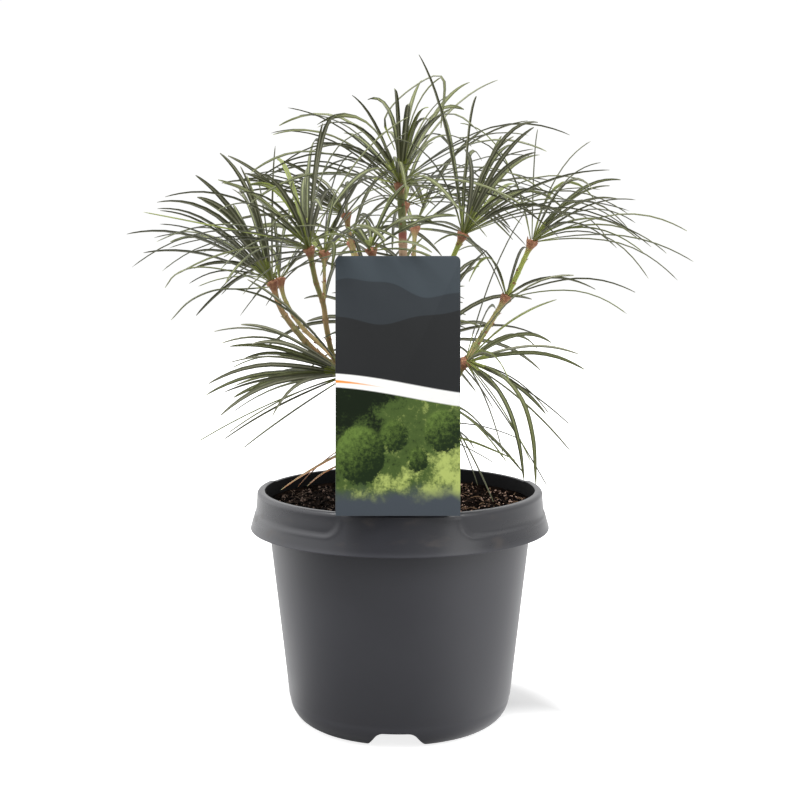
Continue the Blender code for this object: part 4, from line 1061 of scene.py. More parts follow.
# Limbs: name, the places its middle line passes, and the radius at its root and at its tip
LIMBS = [
    ("trunk", [(-0.0010, 0.003, SOIL_TOP + SOIL_CROWN + GAP), (0.0008, 0.001, 0.165), (0.0028, 0, 0.240),
               (0.0019, 0, 0.305), AT["top"]], 0.0052, 0.0028),
    ("bough_left", [(-0.002, 0, 0.198), (-0.016, -0.010, 0.209), (-0.0330, -0.016, 0.2235),
                    (-0.0542, -0.022, 0.2413), (-0.0719, -0.022, 0.2636), AT["left_low"]], 0.0036, 0.0019),
    ("twig_left_skirt", [(-0.022, -0.012, 0.2145), (-0.0265, -0.026, 0.2195),
                         AT["left_skirt"]], 0.0022, 0.0020),
    ("shoot_left_front", [(-0.0330, -0.016, 0.2235), (-0.0408, -0.027, 0.2367), (-0.0447, -0.033, 0.2557),
                          FORK, (-0.0506, -0.040, 0.2836), AT["left_front"]], 0.0023, 0.0020),
    ("shoot_left_low_back", [(-0.0330, -0.016, 0.2235), (-0.0446, -0.006, 0.2372), (-0.0620, 0.004, 0.2525),
                             (-0.0725, 0.012, 0.2680), AT["left_low_back"]], 0.0019, 0.0017),
    ("shoot_left_inner", [FORK, (-0.0463, -0.022, 0.2780), AT["left_inner"]], 0.0014, 0.0013),
    ("bough_right", [(0.003, 0, 0.193), (0.014, -0.006, 0.199), AT["right_foot"]], 0.0034, 0.0030),
    ("bough_right_outer", [AT["right_foot"], (0.033, -0.016, 0.219), (0.0412, -0.017, 0.2326),
                           (0.0525, -0.008, 0.2495), AT["right_mid"]], 0.0029, 0.0021),
    ("twig_right_skirt", [(0.0345, -0.017, 0.2215), (0.0370, -0.027, 0.2270),
                          AT["right_skirt"]], 0.0022, 0.0020),
    ("shoot_right_high", [AT["right_mid"], (0.0758, 0.008, 0.2890), AT["right_high"]], 0.0021, 0.0019),
    ("shoot_right_inner", [(0.0035, 0, 0.240), (0.018, -0.008, 0.262), (0.0321, -0.016, 0.2955),
                           AT["right_inner"]], 0.0022, 0.0019),
    ("shoot_low_front", [(0.003, 0, 0.226), (-0.006, -0.030, 0.258), (-0.0135, -0.048, 0.288),
                         AT["low_front"]], 0.0019, 0.0016),
    ("shoot_left_back", [(0.003, 0, 0.233), (-0.012, 0.022, 0.262), (-0.030, 0.041, 0.300),
                         AT["left_back"]], 0.0020, 0.0018),
    ("shoot_right_back", [(0.0028, 0, 0.250), (0.0026, 0.026, 0.280), (0.0024, 0.048, 0.310),
                          AT["right_back"]], 0.0020, 0.0018),
    ("shoot_back_left", [(0.002, 0, 0.210), (-0.013, 0.038, 0.236), (-0.028, 0.072, 0.275),
                         AT["back_left"]], 0.0021, 0.0018),
    ("shoot_back_right", [(0.003, 0, 0.219), (0.006, 0.045, 0.248), (0.009, 0.082, 0.285),
                          AT["back_right"]], 0.0021, 0.0018),
    ("shoot_low_back_left", [(0.001, 0, 0.172), (-0.006, 0.030, 0.196), (-0.014, 0.066, 0.224),
                             AT["low_back_left"]], 0.0021, 0.0018),
    ("shoot_low_back_right", [(0.002, 0, 0.198), (0.010, 0.030, 0.212), (0.017, 0.056, 0.224),
                              AT["low_back_right"]], 0.0021, 0.0018),
    ("shoot_low_inner", [(0.002, 0, 0.205), (0.001, -0.026, 0.228), (0, -0.041, 0.248),
                         AT["low_inner"]], 0.0019, 0.0016),
]

print("plan:", len(WHORLS), "whorls on", len(LIMBS), "limbs")

# %% The rule for limbs
KNOB_RADIUS = 0.0032
LIMB_STATIONS = 6
TRUNK_STATIONS = 12
ROOT_FLARE = 0.0035
FLARE_UP = 0.012
LINE_PIECES = 24


def smooth_line(places, pieces=LINE_PIECES):
    """Points on one smooth curve through the places, closely spaced."""
    places = [np.array(p, float) for p in places]
    places = [2 * places[0] - places[1]] + places + [2 * places[-1] - places[-2]]
    line = []
    for a, b, c, d in zip(places, places[1:], places[2:], places[3:]):
        for k in range(pieces):
            t = k / pieces
            line.append(0.5 * (2 * b + (c - a) * t + (2 * a - 5 * b + 4 * c - d) * t * t
                               + (3 * b - a - 3 * c + d) * t ** 3))
    line.append(places[-2])
    return np.array(line)


def limb_radius(name, share, height, root, tip):
    """A limb's radius: an even taper, and at the foot of the trunk a flare."""
    radius = root + (tip - root) * share
    if name == "trunk":
        above = (height - SOIL_TOP) / FLARE_UP
        radius += ROOT_FLARE * math.exp(-2.2 * max(above, 0))
    return radius


def clear_limbs():
    """Each limb as points and radii, cut back at both ends until it is just clear of what it meets."""
    near = np.array([[*each["at"], KNOB_RADIUS] for each in WHORLS if each["name"] != "foot"])
    made = []
    for name, places, root, tip in LIMBS:
        line = smooth_line(places)
        shares = np.linspace(0, 1, len(line))
        radii = np.array([limb_radius(name, s, p[2], root, tip) for s, p in zip(shares, line)])
        tangents = np.gradient(line, axis=0)
        tangents /= np.linalg.norm(tangents, axis=1)[:, None]
        free = [room(*each, near) >= GAP for each in zip(line, tangents, radii)]
        middle = len(line) // 2
        start = max([i + 1 for i, is_free in enumerate(free) if not is_free and i < middle], default=0)
        blocked = [i for i, is_free in enumerate(free) if not is_free and i >= middle]
        end = blocked[0] - 1 if blocked else len(line) - 1
        if start > 0:
            line[start] = first_clear(line[start - 1], line[start], tangents[start], radii[start], near)
        if end < len(line) - 1:
            line[end] = first_clear(line[end + 1], line[end], tangents[end], radii[end], near)
        count, crowd = (TRUNK_STATIONS, 1.6) if name == "trunk" else (LIMB_STATIONS, 1.0)
        keep = start + np.round((end - start) * np.linspace(0, 1, count) ** crowd).astype(int)
        keep = np.unique(keep)
        made.append((name, line[keep], radii[keep]))
        near = np.concatenate([near, dense(line[keep], radii[keep])])
    return made


def room(place, tangent, radius, near):
    """How far a round limb's end at this place lies from the balls near it."""
    side, front = across(tangent)
    turns = [math.tau * i / 12 for i in range(12)]
    edge = np.array([place] + [place + radius * (side * math.cos(t) + front * math.sin(t)) for t in turns])
    away = np.linalg.norm(edge[:, None] - near[None, :, :3], axis=2) - near[None, :, 3]
    return away.min()


def first_clear(blocked, free, tangent, radius, near):
    """The place between a blocked one and a free one where a limb's end is just clear."""
    for _ in range(10):
        middle = (blocked + free) / 2
        if room(middle, tangent, radius, near) < GAP:
            blocked = middle
        else:
            free = middle
    return free


def dense(line, radii, step=0.0006):
    """The line as balls close enough together to stand for the tube."""
    balls = []
    for a, b, r, q in zip(line, line[1:], radii, radii[1:]):
        count = max(1, int(np.linalg.norm(b - a) / step))
        for i in range(count):
            t = i / count
            balls.append([*(a + (b - a) * t), r + (q - r) * t])
    balls.append([*line[-1], radii[-1]])
    return np.array(balls)


def across(direction):
    """Two directions at right angles to the one given, and to each other."""
    other = (1.0, 0, 0) if abs(direction[1]) > 0.9 else (0, 1.0, 0)
    side = np.cross(direction, other)
    side = side / np.linalg.norm(side)
    return side, np.cross(direction, side)


limbs = clear_limbs()
print("limbs cut back to", [len(line) for _, line, _ in limbs], "stations")

# %% [markdown]
# The needles' rule is the plant's own: the next needle always stands in the widest gap left, which a turn
# by the golden angle gives. Small differences come from a draw that is seeded by whorl and needle, so
# every run grows the same plant, and a needle keeps its place when another one is left out.

# %% The rule for needles
GOLDEN_TURN = 137.508
RING_MIDDLE = 0.0067
NEEDLE_WIDTH = 0.0030
NEEDLE_STEPS = 25
NEEDLE_SHAPE = ((0, 0.40), (8, 1.0), (18, 0.86), (NEEDLE_STEPS, 0.0))
NEEDLE_ROOT = 0.0020
NEEDLE_SWAY = 0.55
NEEDLE_ARCH = (0.5, 1.6)
SAMPLE = 0.004
FINE_SAMPLE = 0.001
TRIES = 12
CLEAR_OF_SOIL = 0.0022
CLEAR_OF_RIM = 0.003
CLEAR_OF_CARD = 0.0035
TURN_SPREAD, TURN_RETRY = 0.25, 3
TILT_SPREAD, TILT_RETRY = 6, 20
LENGTH_SPREAD = (0.80, 1.08)
ARCH_OUT, ARCH_DOWN = 0.55, -1.55
RIM_INSIDE = 0.0055


def needle_line(ring, index, draw, wobble):
    """The middle line of one needle, its flat side's direction, and how far it is twisted."""
    share = (index + 0.5) / ring["count"]
    turn = index * math.radians(GOLDEN_TURN) + ring["seed"]
    turn = turn + draw.uniform(-TURN_SPREAD, TURN_SPREAD) + wobble * draw.uniform(-TURN_RETRY, TURN_RETRY)
    low, high = ring["tilt"]
    tilt = low + (high - low) * share ** 0.8 + draw.uniform(-TILT_SPREAD, TILT_SPREAD)
    tilt = math.radians(tilt + wobble * draw.uniform(-TILT_RETRY, TILT_RETRY))
    side, front = across(ring["axis"])
    radial = side * math.cos(turn) + front * math.sin(turn)
    heading = ring["axis"] * math.cos(tilt) + radial * math.sin(tilt) + ring["lean"] * (0.35 + 0.65 * share)
    heading = heading / np.linalg.norm(heading)
    length = ring["length"] * draw.uniform(*LENGTH_SPREAD) * (0.68 + 0.32 * min(1, share * 2.2))
    level = np.array([heading[0], heading[1], 0])
    level = level / max(np.linalg.norm(level), 1e-6)
    arch = draw.uniform(*NEEDLE_ARCH) * ring["droop"]
    sway = draw.uniform(-NEEDLE_SWAY, NEEDLE_SWAY)
    twist = draw.uniform(-1.0, 1.0)
    start = ring["at"] + ring["axis"] * (0.0012 - 0.0020 * share) + heading * NEEDLE_ROOT
    if ring["name"] == "foot":
        start = ring["at"] + radial * RING_MIDDLE
    beside = np.cross(heading, (0, 0, 1))
    points = [start]
    for i in range(NEEDLE_STEPS):
        bend = arch * ((i + 0.5) / NEEDLE_STEPS) ** 1.3
        step = heading + level * (ARCH_OUT * bend) + np.array([0, 0, ARCH_DOWN * bend])
        step = step + beside * sway * (i / NEEDLE_STEPS)
        step = step / np.linalg.norm(step)
        points.append(points[-1] + step * length / NEEDLE_STEPS)
    flat = ring["axis"] * math.sin(tilt) - radial * math.cos(tilt)
    return np.array(points), flat, twist


def needle_balls(points, spacing):
    """Balls along a blade that stand for it, each as x, y, z and half the blade's width there."""
    balls = []
    for (i, wide), (j, next_wide) in zip(NEEDLE_SHAPE, NEEDLE_SHAPE[1:]):
        count = math.ceil(np.linalg.norm(points[j] - points[i]) / spacing)
        for k in range(count):
            t = k / count
            place = points[i] + (points[j] - points[i]) * t
            balls.append([*place, NEEDLE_WIDTH / 2 * (wide + (next_wide - wide) * t)])
    balls.append([*points[-1], 0])
    return np.array(balls)


def clear_of_pot(places):
    """True where a needle stays off the soil, the rim and the card."""
    radius = np.hypot(places[:, 0], places[:, 1])
    height = places[:, 2]
    inside = radius < RIM_RADIUS + CLEAR_OF_RIM
    if (inside & (height < SOIL_TOP + SOIL_CROWN + CLEAR_OF_SOIL)).any():
        return False
    on_rim = inside & (radius > MOUTH_RADIUS - RIM_INSIDE)
    if (on_rim & (height < POT_HEIGHT + CLEAR_OF_RIM)).any() or (height < SOIL_TOP).any():
        return False
    behind = (places[:, 1] - CARD_FRONT) * math.cos(CARD_LEAN)
    behind -= (height - POT_HEIGHT) * math.sin(CARD_LEAN)
    beside = np.abs(places[:, 0] - CARD_MIDDLE) < CARD_WIDTH / 2 + CLEAR_OF_RIM
    by_card = beside & (height < POT_HEIGHT + CARD_HEIGHT + CLEAR_OF_RIM)
    return not (by_card & (behind < CLEAR_OF_CARD)).any()


def clear_of(balls, others, spacing, other_spacing):
    """True where no ball comes within the clearance of the others, allowing for the steps between balls."""
    margin = 0.006
    low, high = balls[:, :3].min(axis=0) - margin, balls[:, :3].max(axis=0) + margin
    others = others[((others[:, :3] > low) & (others[:, :3] < high)).all(axis=1)]
    if not len(others):
        return True
    apart = ((balls[:, None, :3] - others[None, :, :3]) ** 2).sum(axis=2)
    needed = (balls[:, None, 3] + others[None, :, 3] + GAP) ** 2
    return bool((apart > needed + (spacing ** 2 + other_spacing ** 2) / 4).all())


limb_balls = np.concatenate([dense(line, radii, FINE_SAMPLE) for _, line, radii in limbs])
knobs = {each["name"]: np.array([[*each["at"], KNOB_RADIUS]]) for each in WHORLS}


def foreign_to(ring, others):
    """The balls that a whorl's needles stay clear of: those given, and the knobs of the other whorls."""
    return np.concatenate(others + [knob for name, knob in knobs.items() if name != ring["name"]])


def fits(ring, points, foreign):
    """True where a needle keeps to its whorl's own space."""
    balls = needle_balls(points, SAMPLE)
    if not clear_of_pot(balls[:, :3]) or not clear_of(balls, foreign, SAMPLE, SAMPLE):
        return False
    fine = needle_balls(points, FINE_SAMPLE)
    if ring["name"] != "foot":
        fine = fine[np.linalg.norm(fine[:, :3] - ring["at"], axis=1) > KNOB_RADIUS - 0.0004]
    return clear_of(fine, limb_balls, FINE_SAMPLE, FINE_SAMPLE)


def grown_needles():
    """The needles of every whorl. One that would touch a neighbour is turned a little, or left out."""
    placed, made = [], []
    for ring in WHORLS:
        foreign = foreign_to(ring, placed)
        grown, own = [], []
        for index in range(ring["count"]):
            draw = random.Random(100 * ring["seed"] + index)
            for attempt in range(TRIES):
                points, flat, twist = needle_line(ring, index, draw, attempt / TRIES)
                if fits(ring, points, foreign):
                    grown.append((points, flat, twist))
                    own.append(needle_balls(points, SAMPLE))
                    break
        placed += own
        made.append((ring, grown))
    return made


grown = grown_needles()
print("needles by the rule", sum(len(needles) for _, needles in grown), "in", len(grown), "whorls")

# %% [markdown]
# ## Shoots, boughs and trunk
#
# A limb is a tapering tube whose points are worked out ring by ring. Young shoots are olive and nearly
# smooth. They widen into a collar below each whorl and carry small brown scale leaves, pressed to the skin.
# Older wood is browner, with furrows along it and low rings where scale leaves stood. That relief is
# real geometry, so it shows in the outline too.

# %% Tubes with relief
AROUND = 18
RING_STEP = 0.00075
SLIM = 0.76
SLIM_FROM, SLIM_OVER = 0.3, 0.5
COLLAR_LENGTH, COLLAR_RADIUS, COLLAR_TINT = 0.0036, 0.0039, 1.7
RELIEF = {"trunk": 0.20, "bough": 0.13, "shoot": 0.07, "twig": 0.07}
SCAR_HEIGHT, SCAR_WIDTH = 0.16, 0.0006
SCAR_FIRST, SCAR_NEXT = (0.006, 0.010), (0.0085, 0.0125)
CAP_RINGS = ((0.45, 0.90), (0.8, 0.62), (0.97, 0.28))


def carried_frames(line):
    """Directions across a line that turn as little as possible from one point to the next."""
    tangents = np.gradient(line, axis=0)
    tangents /= np.linalg.norm(tangents, axis=1)[:, None]
    side = across(tangents[0])[0]
    sides = []
    for tangent in tangents:
        side = side - tangent * np.dot(side, tangent)
        side = side / np.linalg.norm(side)
        sides.append(side)
    sides = np.array(sides)
    return tangents, sides, np.cross(tangents, sides)


def even_line(line, step):
    """The line with its points about a step apart, and how far along it each one lies."""
    lengths = np.concatenate([[0], np.cumsum(np.linalg.norm(np.diff(line, axis=0), axis=1))])
    at = np.linspace(0, lengths[-1], max(4, int(lengths[-1] / step)))
    return np.stack([np.interp(at, lengths, line[:, k]) for k in range(3)], 1), at


def relief(name, run, turns, radius, scars, salt):
    """How far the skin stands out from the plain tube, at one ring."""
    deep = RELIEF[name.split("_")[0]]
    out = np.empty(len(turns))
    for i, turn in enumerate(turns):
        x, y = math.cos(turn), math.sin(turn)
        furrow = abs(noise.noise((x * 2.6, y * 2.6, run * 90 + salt)))
        grain = noise.noise((x * 6, y * 6, run * 420 + salt))
        out[i] = deep * (0.55 - 1.6 * furrow + 0.5 * grain)
    scar = sum(math.exp(-(((run - each) / SCAR_WIDTH) ** 2)) for each in scars)
    return radius * (out + SCAR_HEIGHT * min(scar, 1))


def limb_course(name, places, root, tip):
    """A limb's middle line, how far along it each point lies, its radii, and whether a whorl ends it."""
    line, run = even_line(smooth_line(places), RING_STEP)
    share = run / run[-1]
    radii = np.array([limb_radius(name, s, p[2], root, tip) for s, p in zip(share, line)])
    if name == "trunk":
        radii *= 1 - (1 - SLIM) * np.clip((share - SLIM_FROM) / SLIM_OVER, 0, 1)
    else:
        radii *= SLIM * (1 + 0.35 * np.exp(-run / 0.003))
    at_whorl = any(np.linalg.norm(line[-1] - at) < HAIR for at in AT.values())
    if at_whorl:
        left = run[-1] - run
        radii += (COLLAR_RADIUS - radii) * np.exp(-((left / COLLAR_LENGTH) ** 1.4))
    return line, run, radii, at_whorl


def tube_faces(rings, start, end):
    """Faces between rings of points, closed at both ends by a fan to one point."""
    faces = []
    for a in range(0, (rings - 1) * AROUND, AROUND):
        for k in range(AROUND):
            n = (k + 1) % AROUND
            faces.append((a + k, a + n, a + n + AROUND, a + k + AROUND))
    last = (rings - 1) * AROUND
    for k in range(AROUND):
        n = (k + 1) % AROUND
        faces += [(start, n, k), (end, last + k, last + n)]
    return faces


def limb_skin(name, places, root, tip, draw):
    """Points and faces of one limb, how far each point is in a whorl's collar, and its scale leaves."""
    line, run, radii, at_whorl = limb_course(name, places, root, tip)
    tangents, sides, fronts = carried_frames(line)
    scars = list(np.arange(draw.uniform(*SCAR_FIRST), run[-1] - 0.005, draw.uniform(*SCAR_NEXT)))
    turns = np.arange(AROUND) * math.tau / AROUND
    salt = draw.uniform(0, 50)

    def ring_at(place, i, out):
        return place + np.outer(out * np.cos(turns), sides[i]) + np.outer(out * np.sin(turns), fronts[i])

    points, leaves = [], []
    for i in range(len(line)):
        fade = 1 - math.exp(-(((run[-1] - run[i]) / 0.002) ** 2)) if at_whorl else 1
        out = radii[i] + relief(name, run[i], turns, radii[i], scars, salt) * fade
        points.append(ring_at(line[i], i, out))
    cap_rise = 0.0014 if at_whorl else radii[-1] * 0.5
    for lift, narrow in CAP_RINGS:
        points.append(ring_at(line[-1] + tangents[-1] * cap_rise * lift, -1, radii[-1] * narrow))
    for scar in scars:
        i = int(np.argmin(np.abs(run - scar)))
        turn = draw.uniform(0, math.tau)
        for k in range(draw.choice((1, 2, 2, 3))):
            leaves.append((line[i], tangents[i], sides[i], fronts[i], radii[i], turn + k * 2.1, 1.0))
    if at_whorl:
        for k in range(15):
            i = max(0, len(line) - 2 - int(draw.uniform(0.5, 5.5)))
            leaves.append((line[i], tangents[i], sides[i], fronts[i], radii[i], k * 2.4, 1.4))
    collar = np.exp(-(((run[-1] - run) / (COLLAR_TINT * COLLAR_LENGTH)) ** 2)) * at_whorl
    capped = np.full(len(CAP_RINGS) * AROUND + 2, float(at_whorl))
    collars = np.concatenate([np.repeat(collar, AROUND), capped])
    rings = len(points)
    start, end = line[0] - tangents[0] * 0.0002, line[-1] + tangents[-1] * cap_rise
    points = np.concatenate(points + [[start], [end]])
    return points, tube_faces(rings, rings * AROUND, rings * AROUND + 1), collars, leaves


print("rings of", AROUND, "points, one every", 1000 * RING_STEP, "mm")

# %% Scale leaves
SCALE_LENGTH, SCALE_WIDTH = 0.0024, 0.0009


def scale_leaf(place, tangent, side, front, radius, turn, size):
    """A small brown scale, pressed to the skin and free at its tip."""
    out = side * math.cos(turn) + front * math.sin(turn)
    beside = np.cross(tangent, out)
    foot = place + out * radius * 0.86
    length, wide = SCALE_LENGTH * size, SCALE_WIDTH * size
    belly = foot + out * 0.0007 + tangent * length * 0.45
    points = [
        foot - beside * wide,
        foot + beside * wide,
        belly + beside * wide * 0.8,
        belly - beside * wide * 0.8,
        foot + out * (0.0011 + radius * 0.10) + tangent * length,
        foot + out * 0.0001 + tangent * length * 0.5,
    ]
    faces = [(0, 1, 2, 3), (3, 2, 4), (1, 5, 2), (5, 4, 2), (0, 3, 5), (3, 4, 5), (0, 5, 1)]
    return points, faces


def joined(parts):
    """Several (points, faces) as one."""
    points, faces, base = [], [], 0
    for some_points, some_faces in parts:
        points.append(np.asarray(some_points, float))
        faces += [tuple(i + base for i in face) for face in some_faces]
        base += len(some_points)
    return np.concatenate(points), faces


# %% Grow the limbs and their scale leaves
YOUNGEST = ("shoot_right_high", "shoot_right_inner", "shoot_low_front")
TRUNK_FOOT = (-0.0014, 0.0035, SOIL_TOP - 0.004)

draw = random.Random(5)
skins, in_collar, fresh = [{"trunk": [], "boughs": [], "shoots": []} for _ in range(3)]
scales = []
for name, places, root, tip in LIMBS:
    if name == "trunk":
        places = [TRUNK_FOOT] + places[1:]
    points, faces, collars, leaves = limb_skin(name, places, root, tip, draw)
    kind = name if name == "trunk" else "boughs" if name in ("bough_left", "bough_right") else "shoots"
    skins[kind].append((points, faces))
    in_collar[kind].append(collars)
    fresh[kind].append(np.full(len(points), float(name in YOUNGEST)))
    scales += [scale_leaf(*leaf) for leaf in leaves]
trunk = mesh_from("trunk_bark", *joined(skins["trunk"]), [])
boughs = mesh_from("bough_bark", *joined(skins["boughs"]), [])
shoots = mesh_from("green_shoots", *joined(skins["shoots"]), [])
for kind, piece in (("trunk", trunk), ("boughs", boughs), ("shoots", shoots)):
    for measure, values in (("collar", in_collar), ("fresh", fresh)):
        attribute = piece.data.attributes.new(measure, "FLOAT", "POINT")
        attribute.data.foreach_set("value", np.concatenate(values[kind]).astype(np.float32))
scale_leaves = mesh_from("scale_leaves", *joined(scales), [])
face_outwards(scale_leaves, TINY_DOUBLES)
print("limbs", len(LIMBS), "with", len(scales), "scale leaves")

# %% [markdown]
# Bark and shoots share one rule for their finish, with other colours. It has broad patches, flecks that
# run along the wood, and fresh green on the youngest shoots. The collars under the whorls are
# orange-brown, because dry bud scales wrap them. How far a point lies in a collar was stored with the
# mesh, since no sum on its position could say so. On the trunk a red ring marks where the last year's
# growth began. The wood is pink below it and still green above.

# %% Bark, shoot skin and scales
OLD_BARK, OLD_FURROW = ((0.165, 0.145, 0.080), (0.290, 0.235, 0.150)), (0.060, 0.038, 0.022)
YOUNG_BARK, YOUNG_FURROW = ((0.220, 0.215, 0.080), (0.380, 0.230, 0.115)), (0.120, 0.070, 0.030)
SHOOT_SKIN, SHOOT_FURROW = ((0.235, 0.250, 0.080), (0.420, 0.280, 0.130)), (0.160, 0.100, 0.040)
COLLAR_RED, COLLAR_ORANGE = (0.310, 0.125, 0.072), (0.430, 0.215, 0.115)
SHOOT_GREEN, SCALE_BROWN = (0.300, 0.370, 0.070), (0.31, 0.135, 0.070)
PINK_WOOD, RED_RING, TOP_GREEN = (0.440, 0.290, 0.185), (0.290, 0.095, 0.068), (0.175, 0.195, 0.075)
LAST_YEAR = 0.3098
YEAR_BANDS = ((-0.030, -0.004, PINK_WOOD), (-0.004, -0.001, RED_RING), (0.001, 0.004, TOP_GREEN))


def wood_finish(name, low, high, patch, furrow, last_year=0):
    """Bark, greener on the youngest shoots, that turns orange-brown where a whorl's collar begins.

    Above the height where last year's growth began, the trunk is still green, with a red ring below it.
    """
    made = Finish(name, low, 0.6, Specular_IOR_Level=0.35)
    tone = made.noise(patch, 5, (1, 1, 0.45), 0.6)
    fleck = made.noise(0.0011, 3, (1, 1, 0.4))
    collar = made.node("ShaderNodeAttribute", {"attribute_name": "collar"}, output="Fac")
    youth = made.node("ShaderNodeAttribute", {"attribute_name": "fresh"}, output="Fac")
    colour = made.mix(made.ramp(tone, 0.36, 0.64), low, high)
    colour = made.mix(youth * 0.85, colour, SHOOT_GREEN)
    if last_year:
        height = made.axis("Z") + (tone - 0.5) * 0.003
        for start, end, band in YEAR_BANDS:
            colour = made.mix(made.ramp(height, last_year + start, last_year + end), colour, band)
    ripe = made.mix(made.ramp(made.noise(0.0018, 4), 0.42, 0.62), COLLAR_RED, COLLAR_ORANGE)
    colour = made.mix(made.ramp(collar + (tone - 0.5) * 0.8, 0.10, 0.90), colour, ripe)
    made.give("Base Color", made.mix(made.ramp(fleck, 0.55, 0.75) * 0.5, colour, furrow))
    made.give("Roughness", 0.5 + tone * 0.25)
    made.bump(fleck, 0.0002, 0.7)
    return made


old_bark = wood_finish("old_bark", *OLD_BARK, 0.008, OLD_FURROW, LAST_YEAR)
young_bark = wood_finish("young_bark", *YOUNG_BARK, 0.010, YOUNG_FURROW)
shoot_skin = wood_finish("shoot_skin", *SHOOT_SKIN, 0.011, SHOOT_FURROW)
bud_brown = Finish("bud_scale_brown", SCALE_BROWN, 0.6)
bud_brown.give("Roughness", 0.5 + bud_brown.noise(0.002, 2) * 0.2)
woods = (trunk, boughs, shoots, scale_leaves)
for piece, finish in zip(woods, (old_bark, young_bark, shoot_skin, bud_brown)):
    piece.data.materials.append(finish.material)
    smooth_shaded(piece, 50)
hand_over(trunk, "bark", "trunk")
hand_over(boughs, "bark", "bough_left", "bough_right")
thin_limbs = [name for name, *_ in LIMBS if name not in ("trunk", "bough_left", "bough_right")]
hand_over(shoots, "shoots", *thin_limbs)
hand_over(scale_leaves, "shoots")

# %% [markdown]
# ## Needles
#
# Each needle is really two fused needles: a flat blade with a pale groove down its middle, above and
# below, blunt at the tip and yellow-green at its foot. The rule gives the same lines as the solids, and a
# few shorter ones fill each whorl, most of them in the top one.

# %% Grow the needles
MORE_NEEDLES = {"top": 0.40, "right_inner": 0.20, "left_back": 0.20, "right_back": 0.20}
USUALLY_MORE = 0.05
MORE_SHORT, MORE_WOBBLE, MORE_TRIES = 0.86, 0.3, 4


def more_needles(grown):
    """Shorter needles that fill each whorl, by the same rule with other draws."""
    balls = {}
    for ring, needles in grown:
        balls[ring["name"]] = [needle_balls(points, SAMPLE) for points, _, _ in needles]
    for ring, needles in grown:
        draw = random.Random(ring["seed"] + 100)
        others = [ball for name, some in balls.items() if name != ring["name"] for ball in some]
        foreign = foreign_to(ring, others)
        shorter = dict(ring, length=ring["length"] * MORE_SHORT)
        for _ in range(round(ring["count"] * MORE_NEEDLES.get(ring["name"], USUALLY_MORE))):
            for _ in range(MORE_TRIES):
                share = draw.uniform(0, ring["count"] - 1)
                points, flat, twist = needle_line(shorter, share, draw, MORE_WOBBLE)
                if fits(ring, points, foreign):
                    needles.append((points, flat, twist))
                    balls[ring["name"]].append(needle_balls(points, SAMPLE))
                    break
    return grown


grown = more_needles(grown)
print("needles with the shorter ones", sum(len(needles) for _, needles in grown))

# %% [markdown]
# There are hundreds of needles, so modelling each would take too long. One cross-section of seven points
# is carried along each needle's line instead. Its faces are dealt a few plain colours by needle, which
# gives the groove and the pale stripe below without a pattern.

# %% Needle colours
DEEP, OLIVE, FRESH, GROOVE, UNDER, STRIPE, BASE, DRY = range(8)
needle_colours = [
    ("needle_deep_olive", (0.028, 0.033, 0.007)),
    ("needle_olive", (0.057, 0.064, 0.015)),
    ("needle_fresh_green", (0.140, 0.170, 0.028)),
    ("needle_groove", (0.152, 0.167, 0.070)),
    ("needle_underside", (0.075, 0.080, 0.041)),
    ("needle_pale_stripe", (0.238, 0.238, 0.160)),
    ("needle_yellow_base", (0.200, 0.230, 0.050)),
    ("needle_dry", (0.330, 0.140, 0.060)),
]
needle_finishes = []
for name, colour in needle_colours:
    made = Finish(name, colour, 0.42, Specular_IOR_Level=0.35)
    made.give("Roughness", 0.40 + made.noise(0.004, 2) * 0.16)
    needle_finishes.append(made.material)
print("needle colours", len(needle_finishes))

# %% Carry the blade's section along each needle
NEEDLE_STATIONS = (0, 1.5, 4, 6.5, 9, 11.5, 14, 16.5, 19, 21, 22.7, 24)
STATION_WIDTHS = (0.42, 0.60, 0.84, 0.96, 1.0, 1.0, 0.98, 0.92, 0.84, 0.72, 0.58, 0.42)
SECTION = ((0.5, 0.12), (0.15, 0.46), (0, 0.14), (-0.15, 0.46), (-0.5, 0.12), (-0.14, -0.50), (0.14, -0.50))
SIDES = len(SECTION)
STRIPE_SIDE = 5
TIP_WIDTH = 0.20
BLADE_THICK = 0.0008
TWIST = 0.6
YELLOW_UNTIL = 4
LOOK_AHEAD = 0.7


